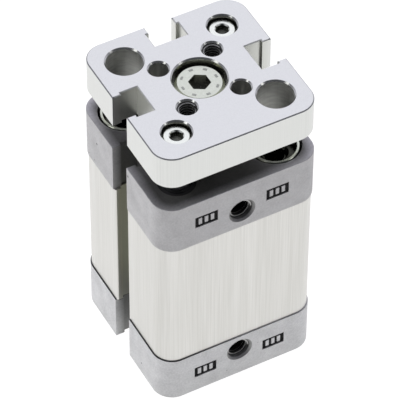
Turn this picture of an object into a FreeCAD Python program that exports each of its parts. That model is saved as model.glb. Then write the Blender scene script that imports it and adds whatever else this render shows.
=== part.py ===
import FreeCAD
import Part
import Sketcher
import os

# Compact pneumatic cylinder with a guided tool plate, rod axis up, standing on its rear cap.
# The port face is -Y, and the other three sides carry the sensor slots.

# Driving sizes in millimetres: name, value, meaning.
SIZES = (
    ("bore_dia", 20, "cylinder bore"),
    ("stroke", 20, "travel of the piston"),
    ("hole_pitch", 22, "spacing of the four corner holes"),
    ("hole_edge", 7, "corner hole to the side of a cap"),
    ("side_step", 0.25, "caps stand proud of barrel and plate"),
    ("corner_radius", 4.5, "upright corners of the caps"),
    ("edge_break", 0.2, "chamfer round the plate faces"),
    ("cap_edge", 0.1, "chamfer round the cap faces"),
    ("rear_cap_height", 11.5, "rear cap without its spigot"),
    ("front_cap_height", 12, "front cap without its spigot"),
    ("spigot_height", 2, "spigot that enters the bore"),
    ("end_gap", 0.2, "piston to spigot at each end of the stroke"),
    ("running_gap", 0.04, "radial gap of a sliding fit"),
    ("seat_gap", 0.05, "radial gap of a fixed piece in its seat"),
    ("slot_mouth", 5.2, "sensor slot of the barrel, opening"),
    ("slot_width", 6.6, "sensor slot, width behind the lips"),
    ("slot_lip", 1.3, "sensor slot, thickness of the lips"),
    ("slot_depth", 4.8, "sensor slot, depth"),
    ("slot_round", 0.4, "rounding of the slot opening"),
    ("notch_mouth", 6.1, "notch of caps and plate, opening"),
    ("notch_width", 7.3, "notch, width behind the lips"),
    ("notch_lip", 1.95, "notch, thickness of the lips"),
    ("notch_depth", 5.75, "notch, depth"),
    ("ring_width", 0.9, "width and height of the cap sealing rings"),
    ("ring_squeeze", 0.05, "slack of a sealing ring in its groove"),
    ("port_dia", 5, "air port thread"),
    ("rear_port_land", 4.1, "rear air port to the barrel"),
    ("front_port_land", 4.6, "front air port to the barrel"),
    ("port_bevel", 0.4, "bevel at the air port"),
    ("channel_width", 2.2, "air channel, width"),
    ("channel_height", 1.2, "air channel, radial height"),
    ("channel_rim", 1.4, "air channel to the bore wall"),
    ("label_width", 5.1, "marking field, width"),
    ("label_height", 2.9, "marking field, height"),
    ("label_depth", 0.3, "marking field, depth"),
    ("label_offset", 8, "marking field to the middle of the port face"),
    ("label_inset", 5.7, "marking field to the outer face of its cap"),
    ("rod_dia", 10, "piston rod"),
    ("rod_bevel", 0.5, "bevel at the rod ends"),
    ("bush_wall", 1.5, "wall of the rod bush"),
    ("seal_width", 2.4, "radial width of the rod seal"),
    ("seal_height", 3.6, "height of the rod seal"),
    ("seal_sink", 0.3, "rod seal below the cap face"),
    ("seal_lip", 0.5, "relief behind the sealing lips"),
    ("buffer_wall", 1.3, "radial width of the end buffers"),
    ("buffer_bore_gap", 0.4, "end buffer to the rod"),
    ("buffer_gap", 0.05, "end buffer to the piston at the stroke end"),
    ("piston_gap", 0.15, "radial gap of the piston lands"),
    ("end_land", 0.9, "piston land outside the seal"),
    ("groove_width", 1.9, "piston seal groove, width"),
    ("groove_depth", 2.6, "piston seal groove, depth from the bore"),
    ("mid_land", 0.7, "piston land inside the seal"),
    ("magnet_length", 2.1, "length of the magnet ring"),
    ("magnet_width", 2.2, "radial width of the magnet ring"),
    ("guide_ring_wall", 1.2, "wall of the piston guide ring"),
    ("stem_ring_radius", 3.9, "sealing ring under the rod end, mean radius"),
    ("stem_ring_width", 1, "sealing ring under the rod end, width and height"),
    ("bolt_thread", 5, "piston bolt thread"),
    ("bolt_head_dia", 8.5, "piston bolt head"),
    ("bolt_head_height", 2.7, "piston bolt head height"),
    ("bolt_sink", 0.3, "piston bolt head below the piston face"),
    ("bolt_gap", 0.3, "piston bolt head to its recess, radial"),
    ("bolt_grip", 7, "piston bolt thread in the rod"),
    ("bolt_socket", 4, "piston bolt key size"),
    ("guide_rod_dia", 6, "guide rods"),
    ("guide_bush_wall", 0.85, "wall of the guide bushes"),
    ("guide_bore_gap", 0.4, "guide rod to its bore in the barrel"),
    ("guide_tail", 5, "guide rod below the front cap at full stroke"),
    ("guide_seat", 1.5, "guide rod end in the plate"),
    ("guide_bevel", 0.4, "bevel at the guide rod ends"),
    ("wiper_height", 2.4, "height of the guide wipers"),
    ("wiper_sink", 0.2, "guide wiper below the cap face"),
    ("plate_thickness", 8, "tool plate"),
    ("plate_gap", 6, "front cap to the tool plate, retracted"),
    ("tool_hole_dia", 4, "tool holes of the plate, threads and dowel holes"),
    ("tool_hole_wall", 1, "tool holes to the counterbore of the plate screw"),
    ("access_dia", 7.5, "access holes over the front screws"),
    ("hole_bevel", 0.3, "bevel at the plate's holes"),
    ("yoke_thread", 6, "plate screw thread"),
    ("yoke_head_dia", 10, "plate screw head"),
    ("yoke_head_height", 4, "plate screw head height"),
    ("yoke_sink", 1.2, "plate screw head below the plate"),
    ("yoke_gap", 0.5, "plate screw head to its counterbore, radial"),
    ("yoke_grip", 9, "plate screw thread in the rod"),
    ("yoke_socket", 4, "plate screw key size"),
    ("guide_thread", 3, "guide screw thread"),
    ("guide_head_dia", 5.5, "guide screw head"),
    ("guide_head_height", 3, "guide screw head height"),
    ("guide_sink", 1, "guide screw head below the plate"),
    ("guide_gap", 0.25, "guide screw head to its counterbore, radial"),
    ("guide_grip", 6, "guide screw thread in its rod"),
    ("guide_socket", 2.5, "guide screw key size"),
    ("head_bevel", 0.5, "bevel of the screw heads"),
    ("key_floor", 1.5, "head left under the key socket"),
    ("drill_room", 1.5, "tapped hole beyond the screw tip"),
    ("collar_dia", 10.2, "collar screw head"),
    ("collar_height", 6.5, "collar screw head height"),
    ("collar_sink", 0.2, "collar screw head below the cap"),
    ("collar_gap", 0.5, "collar screw head to its counterbore, radial"),
    ("collar_bevel", 0.1, "bevel of the collar screw head"),
    ("collar_rim", 0.6, "rim of the collar screw head round its recess"),
    ("collar_recess", 2.1, "centring recess of a collar screw, depth"),
    ("collar_socket", 3.5, "collar screw key size"),
    ("collar_key_depth", 2.5, "collar screw key depth"),
    ("mount_thread", 5, "mounting thread in a collar screw"),
    ("mount_bevel", 0.45, "bevel at the mounting thread"),
    ("shank_dia", 6, "collar screw thread"),
    ("shank_grip", 6, "collar screw thread in the barrel"),
)

# Sizes and heights that follow from the driving ones.
DERIVED = (
    ("hole_at", "size.hole_pitch / 2"),
    ("cap_half", "hole_at + size.hole_edge"),
    ("side_half", "cap_half - size.side_step"),
    ("side_radius", "size.corner_radius - size.side_step"),
    ("bore_radius", "size.bore_dia / 2"),
    ("rod_radius", "size.rod_dia / 2"),
    ("piston_length", "2 * (size.end_land + size.groove_width + size.mid_land) + size.magnet_length"),
    ("barrel_bottom", "size.rear_cap_height"),
    ("barrel_length", "size.stroke + piston_length + 2 * (size.spigot_height + size.end_gap)"),
    ("barrel_top", "barrel_bottom + barrel_length"),
    ("front_top", "barrel_top + size.front_cap_height"),
    ("plate_bottom", "front_top + size.plate_gap"),
    ("plate_top", "plate_bottom + size.plate_thickness"),
    ("rear_spigot_face", "barrel_bottom + size.spigot_height"),
    ("front_spigot_face", "barrel_top - size.spigot_height"),
    ("spigot_radius", "bore_radius - size.seat_gap"),
    ("ring_groove_radius", "bore_radius - size.ring_width - size.ring_squeeze"),
    ("ring_groove_width", "size.ring_width + 2 * size.ring_squeeze"),
    ("ring_land", "(size.spigot_height - ring_groove_width) / 2"),
    ("ring_radius", "bore_radius - (size.ring_width + size.ring_squeeze) / 2"),
    ("channel_outer", "bore_radius - size.channel_rim"),
    ("channel_inner", "channel_outer - size.channel_height"),
    ("port_depth", "cap_half - (channel_outer + channel_inner) / 2"),
    ("buffer_inner", "rod_radius + size.buffer_bore_gap"),
    ("buffer_outer", "buffer_inner + size.buffer_wall"),
    ("buffer_seat", "buffer_outer + size.seat_gap"),
    ("buffer_proud", "size.end_gap - size.buffer_gap"),
    ("rod_bore", "rod_radius + size.running_gap"),
    ("bush_outer", "rod_bore + size.bush_wall"),
    ("bush_seat", "bush_outer + size.seat_gap"),
    ("seal_outer", "rod_bore + size.seal_width"),
    ("seal_seat", "seal_outer + size.seat_gap"),
    ("seal_depth", "size.seal_height + size.seal_sink"),
    ("guide_radius", "size.guide_rod_dia / 2"),
    ("guide_bore", "guide_radius + size.running_gap"),
    ("guide_bush_outer", "guide_bore + size.guide_bush_wall"),
    ("guide_bush_seat", "guide_bush_outer + size.seat_gap"),
    ("guide_bush_top", "front_top - size.wiper_height - size.wiper_sink"),
    ("guide_bottom", "barrel_top - size.stroke - size.guide_tail"),
    ("guide_top", "plate_bottom + size.guide_seat"),
    ("shank_hole", "size.shank_dia / 2 + size.seat_gap"),
    ("guide_clear", "max(guide_radius + size.guide_bore_gap; shank_hole + size.seat_gap)"),
    ("collar_seat_dia", "size.collar_dia + 2 * size.collar_gap"),
    ("collar_seat_depth", "size.collar_height + size.collar_sink"),
    ("collar_recess_radius", "size.collar_dia / 2 - size.collar_rim"),
    ("piston_bottom", "rear_spigot_face + size.end_gap"),
    ("piston_top", "piston_bottom + piston_length"),
    ("piston_middle", "(piston_bottom + piston_top) / 2"),
    ("piston_radius", "bore_radius - size.piston_gap"),
    ("seal_floor", "bore_radius - size.groove_depth"),
    ("sliding_radius", "bore_radius - size.running_gap"),
    ("guide_ring_inner", "sliding_radius - size.guide_ring_wall"),
    ("magnet_outer", "guide_ring_inner - size.seat_gap"),
    ("magnet_inner", "magnet_outer - size.magnet_width"),
    ("hub_radius", "magnet_inner - size.seat_gap"),
    ("magnet_bottom", "piston_middle - size.magnet_length / 2"),
    ("magnet_top", "piston_middle + size.magnet_length / 2"),
    ("rear_groove_bottom", "piston_bottom + size.end_land"),
    ("rear_groove_top", "rear_groove_bottom + size.groove_width"),
    ("front_groove_top", "piston_top - size.end_land"),
    ("front_groove_bottom", "front_groove_top - size.groove_width"),
    ("bolt_hole", "size.bolt_thread / 2 + size.seat_gap"),
    ("bolt_recess", "size.bolt_head_height + size.bolt_sink"),
    ("bolt_recess_radius", "size.bolt_head_dia / 2 + size.bolt_gap"),
    ("bolt_length", "piston_length - bolt_recess + size.bolt_grip"),
    ("bolt_drill", "size.bolt_grip + size.drill_room"),
    ("stem_groove_half", "size.stem_ring_width / 2 + size.ring_squeeze"),
    ("stem_groove_depth", "size.stem_ring_width + size.ring_squeeze"),
    ("yoke_seat_dia", "size.yoke_head_dia + 2 * size.yoke_gap"),
    ("yoke_seat_depth", "size.yoke_head_height + size.yoke_sink"),
    ("yoke_hole", "size.yoke_thread / 2 + size.seat_gap"),
    ("yoke_length", "size.plate_thickness - yoke_seat_depth + size.yoke_grip"),
    ("yoke_drill", "size.yoke_grip + size.drill_room"),
    ("guide_seat_dia", "size.guide_head_dia + 2 * size.guide_gap"),
    ("guide_seat_depth", "size.guide_head_height + size.guide_sink"),
    ("guide_hole", "size.guide_thread / 2 + size.seat_gap"),
    ("guide_length", "size.plate_thickness - guide_seat_depth - size.guide_seat + size.guide_grip"),
    ("guide_drill", "size.guide_grip + size.drill_room"),
    ("tool_hole_circle", "yoke_seat_dia + size.tool_hole_dia + 2 * size.tool_hole_wall"),
    ("tool_hole_at", "tool_hole_circle / sqrt(8)"),
)

# Signs of X and Y at the corners: guide rods take two of them, the front collar screws the other two.
GUIDE_CORNERS = ((-1, -1), (1, 1))
SCREW_CORNERS = ((-1, 1), (1, -1))
ALL_CORNERS = GUIDE_CORNERS + SCREW_CORNERS

UPRIGHT = FreeCAD.Rotation()
UPSIDE_DOWN = FreeCAD.Rotation(FreeCAD.Vector(0, 1, 0), 180)
TOLERANCE = 1e-4

doc = FreeCAD.newDocument("compact_cylinder")
size = doc.addObject("Spreadsheet::Sheet", "size")
for row, (alias, value, meaning) in enumerate(SIZES, start=1):
    size.set(f"A{row}", meaning)
    size.set(f"B{row}", str(value))
    size.setAlias(f"B{row}", alias)
calc = doc.addObject("Spreadsheet::Sheet", "calc")
for row, (alias, formula) in enumerate(DERIVED, start=1):
    calc.set(f"B{row}", "=" + formula)
    calc.setAlias(f"B{row}", alias)
doc.recompute()


def number(formula):
    return float(calc.evalExpression(formula))


def new_body(name):
    body = doc.addObject("PartDesign::Body", name)
    body.Label = name
    return body


def place(body, x="0", y="0", z="0", rotation=UPRIGHT):
    body.Placement = FreeCAD.Placement(FreeCAD.Vector(), rotation)
    for axis, formula in zip("xyz", (x, y, z)):
        body.setExpression(f"Placement.Base.{axis}", formula)


def corner(signs):
    return tuple(f"{sign} * calc.hole_at" for sign in signs)


# Sketches: every point is held by two dimensions from the sketch's origin.
def new_sketch(body, name, plane_role, offset="0"):
    plane = next(f for f in body.Origin.OriginFeatures if f.Role == plane_role)
    sketch = body.newObject("Sketcher::SketchObject", f"{body.Name}_{name}")
    sketch.AttachmentSupport = [(plane, "")]
    sketch.MapMode = "FlatFace"
    sketch.setExpression("AttachmentOffset.Base.z", offset)
    return sketch


def hold_point(sketch, geometry, point, place_xy):
    for kind, formula in zip(("DistanceX", "DistanceY"), place_xy):
        dimension = Sketcher.Constraint(kind, -1, 1, geometry, point, number(formula))
        index = sketch.addConstraint(dimension)
        sketch.setExpression(f"Constraints[{index}]", formula)


def draw_polygon(sketch, corners):
    points = [FreeCAD.Vector(number(x), number(y), 0) for x, y in corners]
    first = sketch.GeometryCount
    for start, end in zip(points, points[1:] + points[:1]):
        sketch.addGeometry(Part.LineSegment(start, end), False)
    for side in range(len(points)):
        following = (side + 1) % len(points)
        sketch.addConstraint(Sketcher.Constraint("Coincident", first + side, 2, first + following, 1))
    for side, place_xy in enumerate(corners):
        hold_point(sketch, first + side, 1, place_xy)


def draw_circle(sketch, place_xy, radius):
    x, y = place_xy
    centre = FreeCAD.Vector(number(x), number(y), 0)
    arc = Part.Circle(centre, FreeCAD.Vector(0, 0, 1), number(radius))
    geometry = sketch.addGeometry(arc, False)
    hold_point(sketch, geometry, 3, place_xy)
    index = sketch.addConstraint(Sketcher.Constraint("Radius", geometry, number(radius)))
    sketch.setExpression(f"Constraints[{index}]", radius)


def box_corners(left, right, low, high):
    return ((left, low), (right, low), (right, high), (left, high))


# Features of a body. A cut that removes nothing stops the build.
def add_pad(body, sketch, length):
    pad = body.newObject("PartDesign::Pad", f"{sketch.Name}_pad")
    pad.Profile = sketch
    pad.setExpression("Length", length)
    doc.recompute()
    return pad


def require_cut(body, before, feature):
    doc.recompute()
    if body.Shape.Volume > before - TOLERANCE:
        raise ValueError(f"{feature.Name} removes nothing")
    return feature


def add_pocket(body, sketch, depth=None, along_normal=False):
    before = body.Shape.Volume
    pocket = body.newObject("PartDesign::Pocket", f"{sketch.Name}_cut")
    pocket.Profile = sketch
    pocket.Reversed = along_normal
    if depth is None:
        pocket.Type = "ThroughAll"
    else:
        pocket.setExpression("Length", depth)
    return require_cut(body, before, pocket)


def add_turning(body, name, corners, cut=False):
    before = body.Shape.Volume if cut else 0
    sketch = new_sketch(body, name, "XZ_Plane")
    draw_polygon(sketch, corners)
    kind = "PartDesign::Groove" if cut else "PartDesign::Revolution"
    feature = body.newObject(kind, f"{sketch.Name}_turned")
    feature.Profile = sketch
    feature.ReferenceAxis = (sketch, ["V_Axis"])
    feature.Angle = 360
    if cut:
        return require_cut(body, before, feature)
    doc.recompute()
    return feature


def repeat_on_slotted_sides(body, feature):
    pattern = body.newObject("PartDesign::PolarPattern", f"{feature.Name}_sides")
    pattern.Originals = [feature]
    pattern.Axis = (feature.Profile[0], ["N_Axis"])
    pattern.Angle = 180
    pattern.Occurrences = 3
    body.Tip = pattern
    doc.recompute()


def edge_names(shape, wanted):
    return [f"Edge{i}" for i, edge in enumerate(shape.Edges, start=1) if wanted(edge)]


def dress_edges(body, kind, name, wanted, amount):
    base = body.Tip
    feature = body.newObject(f"PartDesign::{kind}", f"{body.Name}_{name}")
    feature.Base = (base, edge_names(base.Shape, wanted))
    feature.setExpression("Radius" if kind == "Fillet" else "Size", amount)
    doc.recompute()


def is_upright(edge):
    box = edge.BoundBox
    return box.XLength < TOLERANCE and box.YLength < TOLERANCE


def lies_at(edge, height):
    box = edge.BoundBox
    return abs(box.ZMin - height) < TOLERANCE and abs(box.ZMax - height) < TOLERANCE


def rim_edges(shape, height):
    level = [f for f in shape.Faces if all(lies_at(e, height) for e in f.OuterWire.Edges)]
    largest = max(level, key=lambda face: face.Area)
    return largest.OuterWire.Edges


def is_one_of(edge, others):
    return any(edge.isSame(other) for other in others)


# Square block with rounded upright corners and the stepped slot on three sides.
def add_block(body, half, radius, bottom, height):
    outline = new_sketch(body, "outline", "XY_Plane", bottom)
    draw_polygon(outline, box_corners(f"-{half}", half, f"-{half}", half))
    add_pad(body, outline, height)
    dress_edges(body, "Fillet", "corners", is_upright, radius)


def add_slots(body, face, bottom, mouth, width, lip, depth):
    floor = f"{face} - {depth}"
    step = f"{face} - {lip}"
    profile = (
        (face, f"-{mouth} / 2"),
        (face, f"{mouth} / 2"),
        (step, f"{mouth} / 2"),
        (step, f"{width} / 2"),
        (floor, f"{width} / 2"),
        (floor, f"-{width} / 2"),
        (step, f"-{width} / 2"),
        (step, f"-{mouth} / 2"),
    )
    sketch = new_sketch(body, "slot", "XY_Plane", bottom)
    draw_polygon(sketch, profile)
    slot = add_pocket(body, sketch, along_normal=True)
    repeat_on_slotted_sides(body, slot)


def add_notches(body, face, bottom):
    across = ("size.notch_mouth", "size.notch_width")
    add_slots(body, face, bottom, *across, "size.notch_lip", "size.notch_depth")


def bevel_rims(body, heights, width):
    rims = [edge for height in heights for edge in rim_edges(body.Tip.Shape, number(height))]
    dress_edges(body, "Chamfer", "rims", lambda edge: is_one_of(edge, rims), width)


def drill_corners(body, name, signs_list, radius, offset, depth=None, along_normal=True):
    sketch = new_sketch(body, name, "XY_Plane", offset)
    for signs in signs_list:
        draw_circle(sketch, corner(signs), radius)
    add_pocket(body, sketch, depth, along_normal)


# Extruded barrel: bore, corner holes and sensor slots run its whole length.
def make_barrel():
    barrel = new_body("barrel")
    add_block(barrel, "calc.side_half", "calc.side_radius", "calc.barrel_bottom", "calc.barrel_length")
    add_slots(
        barrel,
        "calc.side_half",
        "calc.barrel_bottom",
        "size.slot_mouth",
        "size.slot_width",
        "size.slot_lip",
        "size.slot_depth",
    )
    side = number("calc.side_half")
    half_mouth = number("size.slot_mouth / 2")

    def at_slot_mouth(edge):
        reach = sorted(abs(v) for v in (edge.BoundBox.Center.x, edge.BoundBox.Center.y))
        at_mouth = abs(reach[0] - half_mouth) < TOLERANCE
        return is_upright(edge) and at_mouth and abs(reach[1] - side) < TOLERANCE

    dress_edges(barrel, "Fillet", "slot_mouths", at_slot_mouth, "size.slot_round")
    bore = new_sketch(barrel, "bore", "XY_Plane", "calc.barrel_bottom")
    draw_circle(bore, ("0", "0"), "calc.bore_radius")
    add_pocket(barrel, bore, along_normal=True)
    drill_corners(barrel, "screw_holes", ALL_CORNERS, "calc.shank_hole", "calc.barrel_bottom")
    guide_depth = "calc.barrel_top - calc.guide_bottom + size.drill_room"
    drill_corners(
        barrel,
        "guide_bores",
        GUIDE_CORNERS,
        "calc.guide_clear",
        "calc.barrel_top",
        guide_depth,
        along_normal=False,
    )
    return barrel


# Die-cast end cap, drawn with its outer face at height 0 and its spigot pointing up.
def make_cap(name, height, port_land):
    cap = new_body(name)
    add_block(cap, "calc.cap_half", "size.corner_radius", "0", height)
    add_notches(cap, "calc.cap_half", "0")
    bevel_rims(cap, ("0", height), "size.cap_edge")
    groove_low = f"{height} + calc.ring_land"
    groove_high = f"{groove_low} + calc.ring_groove_width"
    spigot_face = f"{height} + size.spigot_height"
    spigot = (
        ("0", height),
        ("calc.spigot_radius", height),
        ("calc.spigot_radius", groove_low),
        ("calc.ring_groove_radius", groove_low),
        ("calc.ring_groove_radius", groove_high),
        ("calc.spigot_radius", groove_high),
        ("calc.spigot_radius", spigot_face),
        ("0", spigot_face),
    )
    add_turning(cap, "spigot", spigot)
    add_port(cap, f"{height} - {port_land}")
    add_marking_fields(cap)
    return cap


def add_port(cap, height):
    port = new_sketch(cap, "port", "XZ_Plane", "calc.cap_half")
    draw_circle(port, ("0", height), "size.port_dia / 2")
    add_pocket(cap, port, "calc.port_depth")
    face = -number("calc.cap_half")
    radius = number("size.port_dia / 2")

    def at_port_mouth(edge):
        box = edge.BoundBox
        on_face = abs(box.YMin - face) < TOLERANCE and abs(box.YMax - face) < TOLERANCE
        return on_face and isinstance(edge.Curve, Part.Circle) and abs(edge.Curve.Radius - radius) < TOLERANCE

    dress_edges(cap, "Chamfer", "port_bevel", at_port_mouth, "size.port_bevel")
    channel = new_sketch(cap, "channel", "XY_Plane", height)
    half_width = "size.channel_width / 2"
    across = (f"-{half_width}", half_width)
    draw_polygon(channel, box_corners(*across, "-calc.channel_outer", "-calc.channel_inner"))
    add_pocket(cap, channel, along_normal=True)


def add_marking_fields(cap):
    fields = new_sketch(cap, "fields", "XZ_Plane", "calc.cap_half")
    low = "size.label_inset - size.label_height / 2"
    high = "size.label_inset + size.label_height / 2"
    for side in (-1, 1):
        left = f"{side} * size.label_offset - size.label_width / 2"
        right = f"{side} * size.label_offset + size.label_width / 2"
        draw_polygon(fields, box_corners(left, right, low, high))
    add_pocket(cap, fields, "size.label_depth")


def add_collar_seats(cap, signs_list):
    drill_corners(cap, "collar_seats", signs_list, "calc.collar_seat_dia / 2", "0", "calc.collar_seat_depth")
    drill_corners(cap, "shank_holes", signs_list, "calc.shank_hole", "0")


def make_rear_cap():
    cap = make_cap("rear_cap", "size.rear_cap_height", "size.rear_port_land")
    buffer_seat = new_sketch(cap, "buffer_seat", "XY_Plane", "size.rear_cap_height")
    draw_circle(buffer_seat, ("0", "0"), "calc.buffer_seat")
    add_pocket(cap, buffer_seat, along_normal=True)
    add_collar_seats(cap, ALL_CORNERS)
    return cap


def make_front_cap():
    height = "size.front_cap_height"
    cap = make_cap("front_cap", height, "size.front_port_land")
    spigot_face = f"{height} + size.spigot_height"
    rod_passage = (
        ("0", "0"),
        ("calc.seal_seat", "0"),
        ("calc.seal_seat", "calc.seal_depth"),
        ("calc.bush_seat", "calc.seal_depth"),
        ("calc.bush_seat", height),
        ("calc.buffer_seat", height),
        ("calc.buffer_seat", spigot_face),
        ("0", spigot_face),
    )
    add_turning(cap, "rod_passage", rod_passage, cut=True)
    # Turning the cap over swaps left and right, so its corners are drawn mirrored.
    add_collar_seats(cap, [(-x, y) for x, y in SCREW_CORNERS])
    drill_corners(cap, "guide_seats", [(-x, y) for x, y in GUIDE_CORNERS], "calc.guide_bush_seat", "0")
    place(cap, z="calc.front_top", rotation=UPSIDE_DOWN)
    return cap


# Round pieces, turned about the rod axis and set at a corner where they have one.
def make_turned(name, corners, signs=None):
    body = new_body(name)
    add_turning(body, "profile", corners)
    if signs:
        x, y = corner(signs)
        place(body, x, y)
    return body


def make_ring(name, inner, outer, low, high, signs=None):
    return make_turned(name, box_corners(inner, outer, low, high), signs)


# Square-cut sealing ring, as wide as it is high.
def make_sealing_ring(name, radius, section, height):
    half = f"{section} / 2"
    radii = (f"{radius} - {half}", f"{radius} + {half}")
    return make_ring(name, *radii, f"{height} - {half}", f"{height} + {half}")


# Lip seals: the sealing edge is at one end, and the wall behind it is relieved.
def make_rod_seal():
    low = "calc.front_top - calc.seal_depth"
    high = "calc.front_top - size.seal_sink"
    relieved = "calc.rod_bore + size.seal_lip"
    corners = (
        (relieved, low),
        ("calc.seal_outer", low),
        ("calc.seal_outer", high),
        ("calc.rod_bore", high),
        ("calc.rod_bore", f"{high} - size.seal_lip"),
        (relieved, f"{high} - 2 * size.seal_lip"),
    )
    return make_turned("rod_seal", corners)


def make_piston_seal(name, lip_end, heel_end, inward):
    floor = "calc.seal_floor + size.seat_gap"
    corners = (
        (floor, lip_end),
        ("calc.sliding_radius", lip_end),
        ("calc.sliding_radius", f"{lip_end} + {inward} * size.seal_lip"),
        ("calc.sliding_radius - size.seal_lip", f"{lip_end} + {inward} * 2 * size.seal_lip"),
        ("calc.sliding_radius - size.seal_lip", heel_end),
        (floor, heel_end),
    )
    return make_turned(name, corners)


# Piston in two halves that clamp the magnet and the guide ring between them.
def make_piston_rear():
    bottom = "calc.piston_bottom"
    recess_top = f"{bottom} + calc.bolt_recess"
    corners = (
        ("calc.bolt_recess_radius", bottom),
        ("calc.piston_radius", bottom),
        ("calc.piston_radius", "calc.rear_groove_bottom"),
        ("calc.seal_floor", "calc.rear_groove_bottom"),
        ("calc.seal_floor", "calc.rear_groove_top"),
        ("calc.piston_radius", "calc.rear_groove_top"),
        ("calc.piston_radius", "calc.magnet_bottom"),
        ("calc.hub_radius", "calc.magnet_bottom"),
        ("calc.hub_radius", "calc.piston_middle"),
        ("calc.bolt_hole", "calc.piston_middle"),
        ("calc.bolt_hole", recess_top),
        ("calc.bolt_recess_radius", recess_top),
    )
    return make_turned("piston_rear_half", corners)


def make_piston_front():
    top = "calc.piston_top"
    groove_floor = f"{top} - calc.stem_groove_depth"
    groove_inner = "size.stem_ring_radius - calc.stem_groove_half"
    groove_outer = "size.stem_ring_radius + calc.stem_groove_half"
    corners = (
        ("calc.bolt_hole", "calc.piston_middle"),
        ("calc.hub_radius", "calc.piston_middle"),
        ("calc.hub_radius", "calc.magnet_top"),
        ("calc.piston_radius", "calc.magnet_top"),
        ("calc.piston_radius", "calc.front_groove_bottom"),
        ("calc.seal_floor", "calc.front_groove_bottom"),
        ("calc.seal_floor", "calc.front_groove_top"),
        ("calc.piston_radius", "calc.front_groove_top"),
        ("calc.piston_radius", top),
        (groove_outer, top),
        (groove_outer, groove_floor),
        (groove_inner, groove_floor),
        (groove_inner, top),
        ("calc.bolt_hole", top),
    )
    return make_turned("piston_front_half", corners)


def make_piston_rod():
    low = "calc.piston_top"
    high = "calc.plate_bottom"
    corners = (
        ("calc.bolt_hole", low),
        ("calc.rod_radius", low),
        ("calc.rod_radius", f"{high} - size.rod_bevel"),
        ("calc.rod_radius - size.rod_bevel", high),
        ("calc.yoke_hole", high),
        ("calc.yoke_hole", f"{high} - calc.yoke_drill"),
        ("0", f"{high} - calc.yoke_drill"),
        ("0", f"{low} + calc.bolt_drill"),
        ("calc.bolt_hole", f"{low} + calc.bolt_drill"),
    )
    return make_turned("piston_rod", corners)


def make_guide_rod(name, signs):
    low = "calc.guide_bottom"
    high = "calc.guide_top"
    narrow = "calc.guide_radius - size.guide_bevel"
    corners = (
        ("0", low),
        (narrow, low),
        ("calc.guide_radius", f"{low} + size.guide_bevel"),
        ("calc.guide_radius", f"{high} - size.guide_bevel"),
        (narrow, high),
        ("calc.guide_hole", high),
        ("calc.guide_hole", f"{high} - calc.guide_drill"),
        ("0", f"{high} - calc.guide_drill"),
    )
    return make_turned(name, corners, signs)


# Screws are drawn hanging from their head's top face at height 0.
def add_key_socket(body, key, top, depth):
    flat = f"{key} / 2"
    shoulder = f"{key} / sqrt(12)"
    point = f"{key} / sqrt(3)"
    hexagon = (
        (flat, f"-{shoulder}"),
        (flat, shoulder),
        ("0", point),
        (f"-{flat}", shoulder),
        (f"-{flat}", f"-{shoulder}"),
        ("0", f"-{point}"),
    )
    sketch = new_sketch(body, "key", "XY_Plane", top)
    draw_polygon(sketch, hexagon)
    add_pocket(body, sketch, depth)


def make_socket_screw(name, thread, head_dia, head_height, length, key):
    tip = f"-({head_height} + {length})"
    corners = (
        ("0", "0"),
        (f"{head_dia} / 2 - size.head_bevel", "0"),
        (f"{head_dia} / 2", "-size.head_bevel"),
        (f"{head_dia} / 2", f"-{head_height}"),
        (f"{thread} / 2", f"-{head_height}"),
        (f"{thread} / 2", tip),
        ("0", tip),
    )
    screw = make_turned(name, corners)
    add_key_socket(screw, key, "0", f"{head_height} - size.key_floor")
    return screw


def make_collar_screw(name, cap_height):
    head = "-size.collar_height"
    tip = f"{head} - ({cap_height} - calc.collar_seat_depth) - size.shank_grip"
    floor = "-size.collar_recess"
    mouth = "size.mount_thread / 2"
    corners = (
        (mouth, head),
        (mouth, f"{floor} - size.mount_bevel"),
        (f"{mouth} + size.mount_bevel", floor),
        ("calc.collar_recess_radius", floor),
        ("calc.collar_recess_radius", "-size.collar_bevel"),
        ("calc.collar_recess_radius + size.collar_bevel", "0"),
        ("size.collar_dia / 2 - size.collar_bevel", "0"),
        ("size.collar_dia / 2", "-size.collar_bevel"),
        ("size.collar_dia / 2", head),
        ("size.shank_dia / 2", head),
        ("size.shank_dia / 2", tip),
        ("0", tip),
        ("0", head),
    )
    screw = make_turned(name, corners)
    add_key_socket(screw, "size.collar_socket", head, "size.collar_key_depth")
    return screw


# A set of equal screws: copies of one screw at its corners, kept as one sub-part.
def make_set(name, screw, signs_list, height, rotation=UPRIGHT):
    copies = []
    for index, signs in enumerate(signs_list, start=1):
        copy = doc.addObject("App::Link", f"{name}_{index}")
        copy.LinkedObject = screw
        copy.LinkTransform = False
        x, y = corner(signs)
        place(copy, x, y, height, rotation)
        copies.append(copy)
    group = doc.addObject("Part::Compound", name)
    group.Label = name
    group.Links = copies
    return group


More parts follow.
